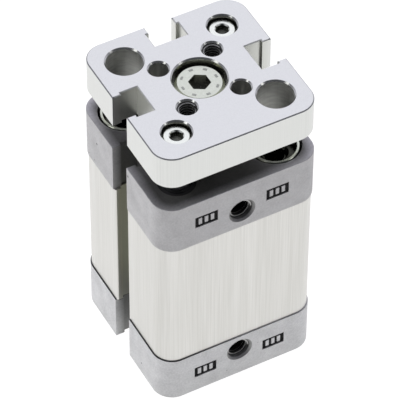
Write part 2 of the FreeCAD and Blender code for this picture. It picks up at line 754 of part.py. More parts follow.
# Tool plate that joins the piston rod and both guide rods.
def make_yoke_plate():
    plate = new_body("yoke_plate")
    bottom = "calc.plate_bottom"
    top = "calc.plate_top"
    add_block(plate, "calc.side_half", "size.corner_radius", bottom, "size.plate_thickness")
    add_notches(plate, "calc.side_half", bottom)
    bevel_rims(plate, (bottom, top), "size.edge_break")
    centre = ("0", "0")
    tool_holes = new_sketch(plate, "tool_holes", "XY_Plane", top)
    draw_circle(tool_holes, centre, "calc.yoke_hole")
    for signs in ALL_CORNERS:
        hole_centre = tuple(f"{sign} * calc.tool_hole_at" for sign in signs)
        draw_circle(tool_holes, hole_centre, "size.tool_hole_dia / 2")
    add_pocket(plate, tool_holes)
    drill_corners(plate, "access", SCREW_CORNERS, "size.access_dia / 2", bottom)
    drill_corners(plate, "guide_holes", GUIDE_CORNERS, "calc.guide_hole", bottom)
    yoke_seat = new_sketch(plate, "yoke_seat", "XY_Plane", top)
    draw_circle(yoke_seat, centre, "calc.yoke_seat_dia / 2")
    add_pocket(plate, yoke_seat, "calc.yoke_seat_depth")
    drill_corners(
        plate,
        "screw_seats",
        GUIDE_CORNERS,
        "calc.guide_seat_dia / 2",
        top,
        "calc.guide_seat_depth",
        along_normal=False,
    )
    guide_socket = "calc.guide_radius + size.seat_gap"
    drill_corners(plate, "guide_sockets", GUIDE_CORNERS, guide_socket, bottom, "size.guide_seat")
    height = number(top)
    rim = rim_edges(plate.Tip.Shape, height)

    def at_hole_mouth(edge):
        return lies_at(edge, height) and not is_one_of(edge, rim)

    dress_edges(plate, "Chamfer", "hole_mouths", at_hole_mouth, "size.hole_bevel")
    return plate


def make_fixed_pieces():
    rear_ring_height = "calc.rear_spigot_face - size.spigot_height / 2"
    front_ring_height = "calc.front_spigot_face + size.spigot_height / 2"
    bush_top = "calc.front_top - calc.seal_depth"
    rear_buffer_top = "calc.rear_spigot_face + calc.buffer_proud"
    front_buffer_bottom = "calc.front_spigot_face - calc.buffer_proud"
    wiper_top = "calc.front_top - size.wiper_sink"
    buffer_radii = ("calc.buffer_inner", "calc.buffer_outer")
    pieces = [
        make_barrel(),
        make_rear_cap(),
        make_front_cap(),
        make_sealing_ring("rear_cap_ring", "calc.ring_radius", "size.ring_width", rear_ring_height),
        make_sealing_ring("front_cap_ring", "calc.ring_radius", "size.ring_width", front_ring_height),
        make_ring("rod_bush", "calc.rod_bore", "calc.bush_outer", "calc.barrel_top", bush_top),
        make_rod_seal(),
        make_ring("rear_buffer", *buffer_radii, "calc.barrel_bottom", rear_buffer_top),
        make_ring("front_buffer", *buffer_radii, front_buffer_bottom, "calc.barrel_top"),
    ]
    for which, signs in zip(("near", "far"), GUIDE_CORNERS):
        radii = ("calc.guide_bore", "calc.guide_bush_outer")
        bush_ends = ("calc.barrel_top", "calc.guide_bush_top")
        pieces.append(make_ring(f"guide_bush_{which}", *radii, *bush_ends, signs))
        pieces.append(make_ring(f"guide_wiper_{which}", *radii, "calc.guide_bush_top", wiper_top, signs))
    rear_screw = make_collar_screw("rear_collar_screw", "size.rear_cap_height")
    front_screw = make_collar_screw("front_collar_screw", "size.front_cap_height")
    front_head = "calc.front_top - size.collar_sink"
    pieces.append(make_set("rear_collar_screws", rear_screw, ALL_CORNERS, "size.collar_sink", UPSIDE_DOWN))
    pieces.append(make_set("front_collar_screws", front_screw, SCREW_CORNERS, front_head))
    return pieces


def make_moving_pieces():
    stem_ring_height = "calc.piston_top - size.stem_ring_width / 2 - size.ring_squeeze"
    bolt = make_socket_screw(
        "piston_bolt",
        "size.bolt_thread",
        "size.bolt_head_dia",
        "size.bolt_head_height",
        "calc.bolt_length",
        "size.bolt_socket",
    )
    place(bolt, z="calc.piston_bottom + size.bolt_sink", rotation=UPSIDE_DOWN)
    yoke_screw = make_socket_screw(
        "yoke_screw",
        "size.yoke_thread",
        "size.yoke_head_dia",
        "size.yoke_head_height",
        "calc.yoke_length",
        "size.yoke_socket",
    )
    place(yoke_screw, z="calc.plate_top - size.yoke_sink")
    guide_screw = make_socket_screw(
        "guide_screw",
        "size.guide_thread",
        "size.guide_head_dia",
        "size.guide_head_height",
        "calc.guide_length",
        "size.guide_socket",
    )
    magnet_ends = ("calc.magnet_bottom", "calc.magnet_top")
    pieces = [
        make_yoke_plate(),
        yoke_screw,
        make_set("guide_screws", guide_screw, GUIDE_CORNERS, "calc.plate_top - size.guide_sink"),
        make_piston_rod(),
        make_piston_rear(),
        make_piston_front(),
        make_ring("magnet_ring", "calc.magnet_inner", "calc.magnet_outer", *magnet_ends),
        make_ring("guide_ring", "calc.guide_ring_inner", "calc.sliding_radius", *magnet_ends),
        make_piston_seal("piston_seal_rear", "calc.rear_groove_bottom", "calc.rear_groove_top", 1),
        make_piston_seal("piston_seal_front", "calc.front_groove_top", "calc.front_groove_bottom", -1),
        make_sealing_ring("stem_ring", "size.stem_ring_radius", "size.stem_ring_width", stem_ring_height),
        bolt,
    ]
    for which, signs in zip(("near", "far"), GUIDE_CORNERS):
        pieces.append(make_guide_rod(f"guide_rod_{which}", signs))
    return pieces


sub_parts = make_fixed_pieces() + make_moving_pieces()
doc.recompute()
failed = [item.Name for item in doc.Objects if {"Invalid", "Error"} & set(item.State)]
failed += [part.Label for part in sub_parts if part.Shape.isNull() or not part.Shape.isValid()]
if failed:
    raise ValueError(f"not built: {failed}")
os.makedirs("parts", exist_ok=True)
for part in sub_parts:
    part.Shape.exportStep(f"parts/{part.Label}.step")
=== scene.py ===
import math

import bpy
from mathutils import Matrix, Vector


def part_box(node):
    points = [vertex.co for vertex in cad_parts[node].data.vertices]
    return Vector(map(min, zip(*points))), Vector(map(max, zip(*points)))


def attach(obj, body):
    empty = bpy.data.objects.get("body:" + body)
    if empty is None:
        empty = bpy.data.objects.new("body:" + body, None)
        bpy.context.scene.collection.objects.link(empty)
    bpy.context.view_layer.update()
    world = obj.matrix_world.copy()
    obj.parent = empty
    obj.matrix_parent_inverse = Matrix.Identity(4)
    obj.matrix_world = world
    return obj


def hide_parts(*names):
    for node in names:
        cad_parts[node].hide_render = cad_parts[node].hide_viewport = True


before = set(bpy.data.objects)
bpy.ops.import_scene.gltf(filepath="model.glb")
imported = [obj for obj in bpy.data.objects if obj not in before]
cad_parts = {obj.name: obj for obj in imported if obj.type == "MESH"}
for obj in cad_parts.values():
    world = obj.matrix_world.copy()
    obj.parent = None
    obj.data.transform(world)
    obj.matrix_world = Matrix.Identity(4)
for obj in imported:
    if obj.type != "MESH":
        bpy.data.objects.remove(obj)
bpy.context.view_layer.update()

# Rear and front caps: die-cast aluminium end blocks, shot-blasted, then faced on top and drilled for air.
# A spigot on each enters the barrel, and the collar screws clamp the three together.
# The air ports' mouths get painted shade, and a thin line of painted shade marks the joint above the rear
# cap, darkest at the left.
MM = 0.001


def linear(code):
    channels = [int(code[i:i + 2], 16) / 255 for i in (1, 3, 5)]
    return tuple(c / 12.92 if c <= 0.04045 else ((c + 0.055) / 1.055) ** 2.4 for c in channels) + (1.0,)


def add_node(owner, kind, inputs=(), **settings):
    node = owner.node_tree.nodes.new(kind)
    for name, value in settings.items():
        setattr(node, name, value)
    for socket, value in dict(inputs).items():
        if isinstance(value, bpy.types.NodeSocket):
            owner.node_tree.links.new(value, node.inputs[socket])
        else:
            node.inputs[socket].default_value = value
    return node


def new_material(name):
    material = bpy.data.materials.new(name)
    material.use_nodes = True
    material.node_tree.nodes.clear()
    return material


def finish_material(material, surface):
    add_node(material, "ShaderNodeOutputMaterial", {"Surface": surface.outputs[0]})


def coat_nodes(material, *names):
    for name in names:
        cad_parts[name].material_slots[0].material = material


# How deep a point lies in a rounded square section: 0 at the outer skin, 1 from the given reach inwards.
SKIN = 0.1 * MM


def depth_inside(material, coords, half_side, corner_radius, reach):
    centre = half_side - corner_radius
    mirrored = add_node(material, "ShaderNodeVectorMath", {0: coords}, operation="ABSOLUTE")
    offset = add_node(
        material, "ShaderNodeVectorMath",
        {0: mirrored.outputs[0], 1: (centre, centre, 0)}, operation="SUBTRACT",
    )
    sides = add_node(material, "ShaderNodeSeparateXYZ", {0: offset.outputs[0]})
    farther = add_node(
        material, "ShaderNodeMath", {0: sides.outputs["X"], 1: sides.outputs["Y"]}, operation="MAXIMUM"
    )
    inward = add_node(material, "ShaderNodeMath", {0: farther.outputs[0], 1: 0}, operation="MINIMUM")
    positive = add_node(material, "ShaderNodeVectorMath", {0: offset.outputs[0]}, operation="MAXIMUM")
    flat = add_node(
        material, "ShaderNodeVectorMath", {0: positive.outputs[0], 1: (1, 1, 0)}, operation="MULTIPLY"
    )
    outward = add_node(material, "ShaderNodeVectorMath", {0: flat.outputs[0]}, operation="LENGTH")
    spread = add_node(
        material, "ShaderNodeMath", {0: outward.outputs["Value"], 1: inward.outputs[0]}, operation="ADD"
    )
    depth = add_node(material, "ShaderNodeMapRange", {
        "Value": spread.outputs[0], "From Min": corner_radius - SKIN, "From Max": corner_radius - reach,
    })
    return depth.outputs[0]


# Blasting gives the eye an even matt grey with a fine grit, faint clouds and a few open pores.
# The real grit is about 0.1 mm, so it is drawn coarser to show.
cast = new_material("shot_blasted_die_cast_aluminium")
CAST_DARK = "#CECECE"
CAST_LIGHT = "#E9E9E9"
FRONT_CAP_SHADE = "#E6E5E5"
CAST_PORE = "#5E5D60"
FRONT_HOLLOW_SHADE = "#91918E"
REAR_HOLLOW_SHADE = "#ADADAB"
UPWARD_SHADE = "#DFDEE1"
PORT_SHADE = "#C6C6C4"
JOINT_SHADE = "#626262"
CAP_CORNER = 4.5 * MM
CAP_DIVIDE = 30 * MM
CAP_NOTCH_REACH = 2.1 * MM
PORT_EDGE = 2.95 * MM
REAR_PORT = 7.4 * MM
FRONT_PORT = 49.6 * MM
JOINT_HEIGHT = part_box("barrel")[0].z
JOINT_SHADE_FULL_X = -15 * MM
JOINT_SHADE_FAINT_X = 2 * MM
LEDGE_BAND = 0.1 * MM
LEDGE_LEAST = 0.3
HOLE_AT = 11 * MM
SEAT_EDGE = 5.75 * MM
SEAT_EDGE_WIDTH = 0.3 * MM
GRIT_SIZE = 0.45 * MM
GRIT_RELIEF = 0.03 * MM
GRIT_WEIGHT = 1.5
CLOUD_SIZE = 3.5 * MM
MOTTLE_DARK = 0.85
MOTTLE_LIGHT = 1.65
PORE_SPACING = 4.5 * MM
PORE_CORE = 0.045
PORE_RIM = 0.07
SLOPE_START = 0.2
SLOPE_END = 0.6
LEVEL_FROM = 0.9
BLASTED_SMOOTH = 0.5
BLASTED_ROUGH = 0.72
FACED_ROUGHNESS = 0.42
coords = add_node(cast, "ShaderNodeTexCoord").outputs["Object"]
grit = add_node(
    cast, "ShaderNodeTexNoise", {"Vector": coords, "Scale": 1 / GRIT_SIZE, "Detail": 3, "Roughness": 0.6}
)
cloud = add_node(cast, "ShaderNodeTexNoise", {"Vector": coords, "Scale": 1 / CLOUD_SIZE, "Detail": 2})
mottle = add_node(
    cast, "ShaderNodeMath",
    {0: grit.outputs["Fac"], 1: GRIT_WEIGHT, 2: cloud.outputs["Fac"]}, operation="MULTIPLY_ADD",
)
shade = add_node(
    cast, "ShaderNodeMapRange",
    {"Value": mottle.outputs[0], "From Min": MOTTLE_DARK, "From Max": MOTTLE_LIGHT},
)
skin = add_node(
    cast, "ShaderNodeMix",
    {0: shade.outputs[0], 6: linear(CAST_DARK), 7: linear(CAST_LIGHT)}, data_type="RGBA",
)
pores = add_node(cast, "ShaderNodeTexVoronoi", {"Vector": coords, "Scale": 1 / PORE_SPACING})
pore = add_node(cast, "ShaderNodeMapRange", {
    "Value": pores.outputs["Distance"],
    "From Min": PORE_CORE, "From Max": PORE_RIM, "To Min": 1, "To Max": 0,
})
pitted = add_node(
    cast, "ShaderNodeMix",
    {0: pore.outputs[0], 6: skin.outputs[2], 7: linear(CAST_PORE)}, data_type="RGBA",
)
place = add_node(cast, "ShaderNodeSeparateXYZ", {0: coords})
# Painted shade: the front cap is a shade darker than the rear cap, which stands nearer the white floor.
front_cap = add_node(
    cast, "ShaderNodeMath", {0: place.outputs["Z"], 1: CAP_DIVIDE}, operation="GREATER_THAN"
)
shaded = add_node(
    cast, "ShaderNodeMix",
    {0: front_cap.outputs[0], 6: pitted.outputs[2], 7: linear(FRONT_CAP_SHADE)},
    data_type="RGBA", blend_type="MULTIPLY",
)
facing = add_node(cast, "ShaderNodeNewGeometry").outputs["Normal"]
upness = add_node(cast, "ShaderNodeSeparateXYZ", {0: facing}).outputs["Z"]
# Painted shade: faces turned upwards are darkened, for the shade under the tool plate; the seat ring round
# each collar screw is left out and shows lighter.
topmost = add_node(
    cast, "ShaderNodeMapRange", {"Value": upness, "From Min": SLOPE_START, "From Max": SLOPE_END}
)
mirrored = add_node(cast, "ShaderNodeVectorMath", {0: coords}, operation="ABSOLUTE")
flat = add_node(cast, "ShaderNodeVectorMath", {0: mirrored.outputs[0], 1: (1, 1, 0)}, operation="MULTIPLY")
from_corner = add_node(
    cast, "ShaderNodeVectorMath", {0: flat.outputs[0], 1: (HOLE_AT, HOLE_AT, 0)}, operation="DISTANCE"
)
edge_ring = add_node(
    cast, "ShaderNodeMath",
    {0: from_corner.outputs["Value"], 1: SEAT_EDGE, 2: SEAT_EDGE_WIDTH / 2}, operation="COMPARE",
)
diagonal = add_node(
    cast, "ShaderNodeMath", {0: place.outputs["X"], 1: place.outputs["Y"]}, operation="MULTIPLY"
)
screw_corner = add_node(cast, "ShaderNodeMath", {0: diagonal.outputs[0], 1: 0}, operation="LESS_THAN")
seat_ring = add_node(
    cast, "ShaderNodeMath", {0: edge_ring.outputs[0], 1: screw_corner.outputs[0]}, operation="MULTIPLY"
)
shaded_top = add_node(
    cast, "ShaderNodeMath",
    {0: topmost.outputs[0], 1: seat_ring.outputs[0]}, operation="SUBTRACT", use_clamp=True,
)
# Painted shade: notches and holes darken inwards from the outer skin, the front cap's more than the rear
# cap's.
cast_depth = depth_inside(cast, coords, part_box("rear_cap")[1].x, CAP_CORNER, CAP_NOTCH_REACH)
notch_shade = add_node(
    cast, "ShaderNodeMix",
    {0: front_cap.outputs[0], 6: linear(REAR_HOLLOW_SHADE), 7: linear(FRONT_HOLLOW_SHADE)}, data_type="RGBA",
)
hollowed = add_node(
    cast, "ShaderNodeMix",
    {0: cast_depth, 6: shaded.outputs[2], 7: notch_shade.outputs[2]},
    data_type="RGBA", blend_type="MULTIPLY",
)
topped = add_node(
    cast, "ShaderNodeMix",
    {0: shaded_top.outputs[0], 6: hollowed.outputs[2], 7: linear(UPWARD_SHADE)},
    data_type="RGBA", blend_type="MULTIPLY",
)
# Painted shade: the mouths of the air ports on the port face are darkened.
upright = add_node(cast, "ShaderNodeVectorMath", {0: coords, 1: (1, 0, 1)}, operation="MULTIPLY")
from_rear_port = add_node(
    cast, "ShaderNodeVectorMath", {0: upright.outputs[0], 1: (0, 0, REAR_PORT)}, operation="DISTANCE"
)
from_front_port = add_node(
    cast, "ShaderNodeVectorMath", {0: upright.outputs[0], 1: (0, 0, FRONT_PORT)}, operation="DISTANCE"
)
from_port = add_node(
    cast, "ShaderNodeMath",
    {0: from_rear_port.outputs["Value"], 1: from_front_port.outputs["Value"]}, operation="MINIMUM",
)
near_port = add_node(cast, "ShaderNodeMath", {0: from_port.outputs[0], 1: PORT_EDGE}, operation="LESS_THAN")
port_side = add_node(cast, "ShaderNodeMath", {0: place.outputs["Y"], 1: -HOLE_AT}, operation="LESS_THAN")
port_mouth = add_node(
    cast, "ShaderNodeMath", {0: near_port.outputs[0], 1: port_side.outputs[0]}, operation="MULTIPLY"
)
port_shaded = add_node(
    cast, "ShaderNodeMix",
    {0: port_mouth.outputs[0], 6: topped.outputs[2], 7: linear(PORT_SHADE)},
    data_type="RGBA", blend_type="MULTIPLY",
)
# Painted shade: a thin line on the ledge at the joint with the barrel, darkest at the left.
joint_ledge = add_node(
    cast, "ShaderNodeMath", {0: place.outputs["Z"], 1: JOINT_HEIGHT, 2: LEDGE_BAND}, operation="COMPARE"
)
ledge_shade_fade = add_node(cast, "ShaderNodeMapRange", {
    "Value": place.outputs["X"],
    "From Min": JOINT_SHADE_FULL_X, "From Max": JOINT_SHADE_FAINT_X, "To Min": 1, "To Max": LEDGE_LEAST,
})
ledge_shade = add_node(
    cast, "ShaderNodeMath", {0: joint_ledge.outputs[0], 1: ledge_shade_fade.outputs[0]}, operation="MULTIPLY"
)
cast_colour = add_node(
    cast, "ShaderNodeMix",
    {0: ledge_shade.outputs[0], 6: port_shaded.outputs[2], 7: linear(JOINT_SHADE)},
    data_type="RGBA", blend_type="MULTIPLY",
)
blasted_rough = add_node(
    cast, "ShaderNodeMapRange",
    {"Value": grit.outputs["Fac"], "To Min": BLASTED_SMOOTH, "To Max": BLASTED_ROUGH},
)
level = add_node(cast, "ShaderNodeMath", {0: upness, 1: LEVEL_FROM}, operation="GREATER_THAN")
faced = add_node(
    cast, "ShaderNodeMath",
    {0: level.outputs[0], 1: seat_ring.outputs[0]}, operation="SUBTRACT", use_clamp=True,
)
cast_rough = add_node(
    cast, "ShaderNodeMix", {0: faced.outputs[0], 2: blasted_rough.outputs[0], 3: FACED_ROUGHNESS}
)
cast_bump = add_node(
    cast, "ShaderNodeBump", {"Height": grit.outputs["Fac"], "Strength": 0.35, "Distance": GRIT_RELIEF}
)
finish_material(cast, add_node(cast, "ShaderNodeBsdfPrincipled", {
    "Base Color": cast_colour.outputs[2],
    "Metallic": 0.6,
    "Roughness": cast_rough.outputs[0],
    "Normal": cast_bump.outputs[0],
}))
coat_nodes(cast, "rear_cap", "front_cap")

# Marking fields: shallow cast pockets beside each air port, with a black filler on the floor.
# Three plain bars of bare metal stand up from it, cast in one with the cap.
FIELD_WIDTH = 5.1 * MM
FIELD_HEIGHT = 2.9 * MM
FIELD_DEPTH = 0.3 * MM
FIELD_GAP = 0.04 * MM
FILLER_DEPTH = 0.06 * MM
FILLER_BEVEL = 0.02 * MM
BAR_WIDTH = 0.78 * MM
BAR_HEIGHT = 1.7 * MM
BAR_RISE = 0.2 * MM
BAR_BEVEL = 0.06 * MM
BAR_PITCH = 1.35 * MM
BAR_COUNT = 3
FIELD_PLACES = {
    "rear_field_left": (-8 * MM, 5.7 * MM),
    "rear_field_right": (8 * MM, 5.7 * MM),
    "front_field_left": (-8 * MM, 51.3 * MM),
    "front_field_right": (8 * MM, 51.3 * MM),
}
# The enamel is brushed in and wiped off the bars, a dull black to the eye with a faint speckle.
filler = new_material("black_enamel_filler")
FILLER_DARK = "#050506"
FILLER_LIGHT = "#141415"
FILLER_GRAIN = 0.4 * MM
coords = add_node(filler, "ShaderNodeTexCoord").outputs["Object"]
speckle = add_node(filler, "ShaderNodeTexNoise", {"Vector": coords, "Scale": 1 / FILLER_GRAIN, "Detail": 2})
filler_colour = add_node(
    filler, "ShaderNodeMix",
    {0: speckle.outputs["Fac"], 6: linear(FILLER_DARK), 7: linear(FILLER_LIGHT)}, data_type="RGBA",
)
finish_material(filler, add_node(filler, "ShaderNodeBsdfPrincipled", {
    "Base Color": filler_colour.outputs[2], "Roughness": 0.7, "Specular IOR Level": 0.2,
}))


def deselect_all():
    bpy.ops.object.select_all(action="DESELECT")


def settle(piece, body, slot, *materials):
    bpy.ops.object.mode_set(mode="OBJECT")
    bpy.ops.object.transform_apply(location=True, rotation=True, scale=True)
    for material in materials:
        piece.data.materials.append(material)
    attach(piece, body)


def copy_piece(piece, name, offset=(0, 0, 0), turn=(0, 0, 0)):
    deselect_all()
    twin = piece.copy()
    twin.data = piece.data.copy()
    twin.name = name
    bpy.context.scene.collection.objects.link(twin)
    twin.rotation_euler = turn
    twin.location = offset
    twin.select_set(True)
    bpy.context.view_layer.objects.active = twin
    bpy.ops.object.transform_apply(location=True, rotation=True, scale=True)
    return twin


def bevelled_block(name, centre, size, bevel):
    deselect_all()
    bpy.ops.mesh.primitive_cube_add(size=1, location=centre)
    block = bpy.context.object
    block.name = name
    block.dimensions = size
    bpy.ops.object.transform_apply(location=True, rotation=True, scale=True)
    bpy.ops.object.mode_set(mode="EDIT")
    bpy.ops.mesh.bevel(offset=bevel, segments=2)
    bpy.ops.object.mode_set(mode="OBJECT")
    return block


cap_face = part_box("front_cap")[0].y
floor_y = cap_face + FIELD_DEPTH - FILLER_DEPTH / 2
field_size = (FIELD_WIDTH - FIELD_GAP, FILLER_DEPTH, FIELD_HEIGHT - FIELD_GAP)
marking_field = bevelled_block("marking_field", (0, floor_y, 0), field_size, FILLER_BEVEL)
bar_centre = (0, floor_y - BAR_RISE / 2, 0)
bar = bevelled_block("field_bar", bar_centre, (BAR_WIDTH, BAR_RISE, BAR_HEIGHT), BAR_BEVEL)
for face in bar.data.polygons:
    face.material_index = 1
for block in (marking_field, bar):
    block.data.materials.append(filler)
    block.data.materials.append(cast)
for number in range(BAR_COUNT):
    bar_offset = ((number - (BAR_COUNT - 1) / 2) * BAR_PITCH, 0, 0)
    copy_piece(bar, f"field_bar_{number}", bar_offset)
    marking_field.select_set(True)
    bpy.context.view_layer.objects.active = marking_field
    bpy.ops.object.join()
for name, (across, up) in FIELD_PLACES.items():
    field = copy_piece(marking_field, name, (across, 0, up))
    settle(field, "cylinder_body", "cast_aluminium")
bpy.data.objects.remove(marking_field)
bpy.data.objects.remove(bar)

# Air port threads: M5 threads tapped straight into the cast aluminium, for the air fittings.
# Their ridges carry painted shade: the crests keep the metal's colour at the mouth, and the roots and the
# ridges down the hole go dark.
M5_PITCH = 0.8 * MM
M5_MINOR = 2.067 * MM
M5_MAJOR = 2.5 * MM
M5_TURNS = 7
THREAD_ROOT = 0.03 * MM
THREAD_FOOT = 0.9
THREAD_CREST = 0.14
THREAD_STEPS = 48
SEAM = 0.0001 * MM
RIDGE_ANGLE = math.radians(35)


def wind_thread(name, pitch, minor, major, turns, bright_depth, crest_gain=1.0):
    deselect_all()
    depth = major + THREAD_ROOT - minor
    half_way = minor + depth / 2
    bpy.ops.mesh.primitive_plane_add(size=1, rotation=(math.pi / 2, 0, 0), location=(half_way, 0, 0))
    ridge = bpy.context.object
    ridge.name = name
    ridge.dimensions = (depth, pitch * THREAD_FOOT, 0)
    bpy.ops.object.transform_apply(location=True, rotation=True, scale=True)
    crest = minor + depth / 4
    for vertex in ridge.data.vertices:
        vertex.select = vertex.co.x < crest
    bpy.ops.object.mode_set(mode="EDIT")
    bpy.ops.mesh.select_mode(type="VERT")
    bpy.ops.transform.resize(value=(1, 1, THREAD_CREST), center_override=(minor, 0, 0))
    bpy.ops.mesh.select_all(action="SELECT")
    bpy.ops.mesh.delete(type="ONLY_FACE")
    bpy.ops.object.mode_set(mode="OBJECT")
    winding = ridge.modifiers.new("winding", "SCREW")
    winding.axis = "Z"
    winding.angle = math.tau
    winding.screw_offset = -pitch
    winding.iterations = turns
    winding.steps = THREAD_STEPS
    winding.render_steps = THREAD_STEPS
    winding.use_merge_vertices = True
    bpy.ops.object.modifier_apply(modifier="winding")
    bpy.ops.object.mode_set(mode="EDIT")
    bpy.ops.mesh.select_all(action="SELECT")
    bpy.ops.mesh.remove_doubles(threshold=SEAM)
    bpy.ops.mesh.select_all(action="DESELECT")
    bpy.ops.mesh.select_non_manifold()
    bpy.ops.mesh.fill_holes(sides=0)
    bpy.ops.mesh.select_all(action="SELECT")
    bpy.ops.mesh.normals_make_consistent(inside=False)
    bpy.ops.object.mode_set(mode="OBJECT")
    bpy.ops.object.shade_smooth_by_angle(angle=RIDGE_ANGLE)
    # The crest value drives painted shade: 1 at the crest and 0 at the root, fading with depth over
    # bright_depth and scaled by crest_gain.
    crest_share = ridge.data.attributes.new("crest", "FLOAT", "POINT")
    for vertex in ridge.data.vertices:
        from_axis = math.hypot(vertex.co.x, vertex.co.y)
        fade = max(0, 1 + vertex.co.z / bright_depth)
        crest_share.data[vertex.index].value = crest_gain * fade * (major - from_axis) / (major - minor)
    return ridge


# Tapping gives the eye a little tool chatter; the ridge roots get painted shade, and the crests keep the
# metal's colour.
tapped = new_material("tapped_aluminium")
ROOT_SHADE = "#333332"
TAPPED_DARK = "#B2B2AF"
TAPPED_LIGHT = "#D0D0CD"
CHATTER = 0.3 * MM
ROOT_END = 0.25
CREST_START = 0.85
coords = add_node(tapped, "ShaderNodeTexCoord").outputs["Object"]
chatter = add_node(tapped, "ShaderNodeTexNoise", {"Vector": coords, "Scale": 1 / CHATTER, "Detail": 2})
tapped_skin = add_node(
    tapped, "ShaderNodeMix",
    {0: chatter.outputs["Fac"], 6: linear(TAPPED_DARK), 7: linear(TAPPED_LIGHT)}, data_type="RGBA",
)
crest = add_node(tapped, "ShaderNodeAttribute", attribute_name="crest").outputs["Fac"]
lit = add_node(
    tapped, "ShaderNodeMapRange", {"Value": crest, "From Min": ROOT_END, "From Max": CREST_START}
)
tapped_colour = add_node(
    tapped, "ShaderNodeMix",
    {0: lit.outputs[0], 6: linear(ROOT_SHADE), 7: tapped_skin.outputs[2]}, data_type="RGBA",
)
finish_material(tapped, add_node(tapped, "ShaderNodeBsdfPrincipled", {
    "Base Color": tapped_colour.outputs[2], "Metallic": 0.5, "Roughness": 0.45,
}))
PORT_LEAD = 0.6 * MM
PORT_BRIGHT = 2.2 * MM
PORT_GAIN = 1.6
m5_ridge = wind_thread("m5_ridge", M5_PITCH, M5_MINOR, M5_MAJOR, M5_TURNS, PORT_BRIGHT, PORT_GAIN)
for name, height in (("rear_port_thread", REAR_PORT), ("front_port_thread", FRONT_PORT)):
    thread = copy_piece(m5_ridge, name, (0, cap_face + PORT_LEAD, height), (math.pi / 2, 0, 0))
    settle(thread, "cylinder_body", "cast_aluminium", tapped)
bpy.data.objects.remove(m5_ridge)

# Collar screws: turned steel screws with a wide head, a centring recess and an M5 thread inside.
# They are zinc plated. Four hold the rear cap and two the front cap on the barrel.
ZINC_TONES = ("#BDC1B3", "#D3D6CA")
COLLAR_SHADE = "#3C3D37"
ZINC_GRAIN = 0.5 * MM
HEAD_EDGE = 0.5 * MM
RECESS_RADIUS = 4.55 * MM
SHADE_START = 0.02 * MM
SHADE_FULL = 0.6 * MM
ZINC_SMOOTH = 0.18
ZINC_ROUGH = 0.3


# Zinc gives the eye a bright metal with a faint green-yellow cast and fine clouds; painted shade darkens
# its recesses.
# The real crystals are under 0.1 mm, so the grain is drawn coarser to show.
def plate_with_zinc(name, tones, face_height, inwards, axis_at, hole_radius, shade_colour):
    zinc = new_material(name)
    dull, shining = tones
    coords = add_node(zinc, "ShaderNodeTexCoord").outputs["Object"]
    grain = add_node(zinc, "ShaderNodeTexNoise", {"Vector": coords, "Scale": 1 / ZINC_GRAIN, "Detail": 3})
    bright = add_node(
        zinc, "ShaderNodeMix",
        {0: grain.outputs["Fac"], 6: linear(dull), 7: linear(shining)}, data_type="RGBA",
    )
    height = add_node(zinc, "ShaderNodeSeparateXYZ", {0: coords}).outputs["Z"]
    depth = add_node(
        zinc, "ShaderNodeMath", {0: height, 1: inwards, 2: -inwards * face_height}, operation="MULTIPLY_ADD"
    )
    flat = add_node(zinc, "ShaderNodeVectorMath", {0: coords, 1: (1, 1, 0)}, operation="MULTIPLY")
    mirrored = add_node(zinc, "ShaderNodeVectorMath", {0: flat.outputs[0]}, operation="ABSOLUTE")
    from_axis = add_node(
        zinc, "ShaderNodeVectorMath",
        {0: mirrored.outputs[0], 1: (axis_at, axis_at, 0)}, operation="DISTANCE",
    )
    beside = add_node(
        zinc, "ShaderNodeMath", {0: from_axis.outputs["Value"], 1: hole_radius}, operation="GREATER_THAN"
    )
    start = add_node(zinc, "ShaderNodeMath", {0: beside.outputs[0], 1: HEAD_EDGE}, operation="MULTIPLY")
    sunk = add_node(
        zinc, "ShaderNodeMath", {0: depth.outputs[0], 1: start.outputs[0]}, operation="SUBTRACT"
    )
    shaded = add_node(
        zinc, "ShaderNodeMapRange",
        {"Value": sunk.outputs[0], "From Min": SHADE_START, "From Max": SHADE_FULL},
    )
    zinc_colour = add_node(
        zinc, "ShaderNodeMix",
        {0: shaded.outputs[0], 6: bright.outputs[2], 7: linear(shade_colour)}, data_type="RGBA",
    )
    zinc_rough = add_node(
        zinc, "ShaderNodeMapRange",
        {"Value": grain.outputs["Fac"], "To Min": ZINC_SMOOTH, "To Max": ZINC_ROUGH},
    )
    finish_material(zinc, add_node(zinc, "ShaderNodeBsdfPrincipled", {
        "Base Color": zinc_colour.outputs[2], "Metallic": 1.0, "Roughness": zinc_rough.outputs[0],
    }))
    return zinc


rear_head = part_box("rear_collar_screws")[0].z
front_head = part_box("front_collar_screws")[1].z
# The recess, the thread inside it and the head's sides below the rim get painted shade.
rear_zinc = plate_with_zinc(
    "zinc_plated_rear_screw", ZINC_TONES, rear_head, 1, HOLE_AT, RECESS_RADIUS, COLLAR_SHADE
)
coat_nodes(rear_zinc, "rear_collar_screws", "piston_bolt")
front_zinc = plate_with_zinc(
    "zinc_plated_front_screw", ZINC_TONES, front_head, -1, HOLE_AT, RECESS_RADIUS, COLLAR_SHADE
)
coat_nodes(front_zinc, "front_collar_screws")
COLLAR_LEAD = 2.6 * MM
COLLAR_TURNS = 4
collar_ridge = wind_thread("collar_ridge", M5_PITCH, M5_MINOR, M5_MAJOR, COLLAR_TURNS, COLLAR_LEAD)
REAR_CORNERS = ((-1, -1), (1, -1), (1, 1), (-1, 1))
FRONT_CORNERS = ((-1, 1), (1, -1))
for number, (sx, sy) in enumerate(REAR_CORNERS, start=1):
    place = (sx * HOLE_AT, sy * HOLE_AT, rear_head + COLLAR_LEAD)
    thread = copy_piece(collar_ridge, f"rear_mount_thread_{number}", place, (math.pi, 0, 0))
    settle(thread, "cylinder_body", "zinc_steel", rear_zinc)
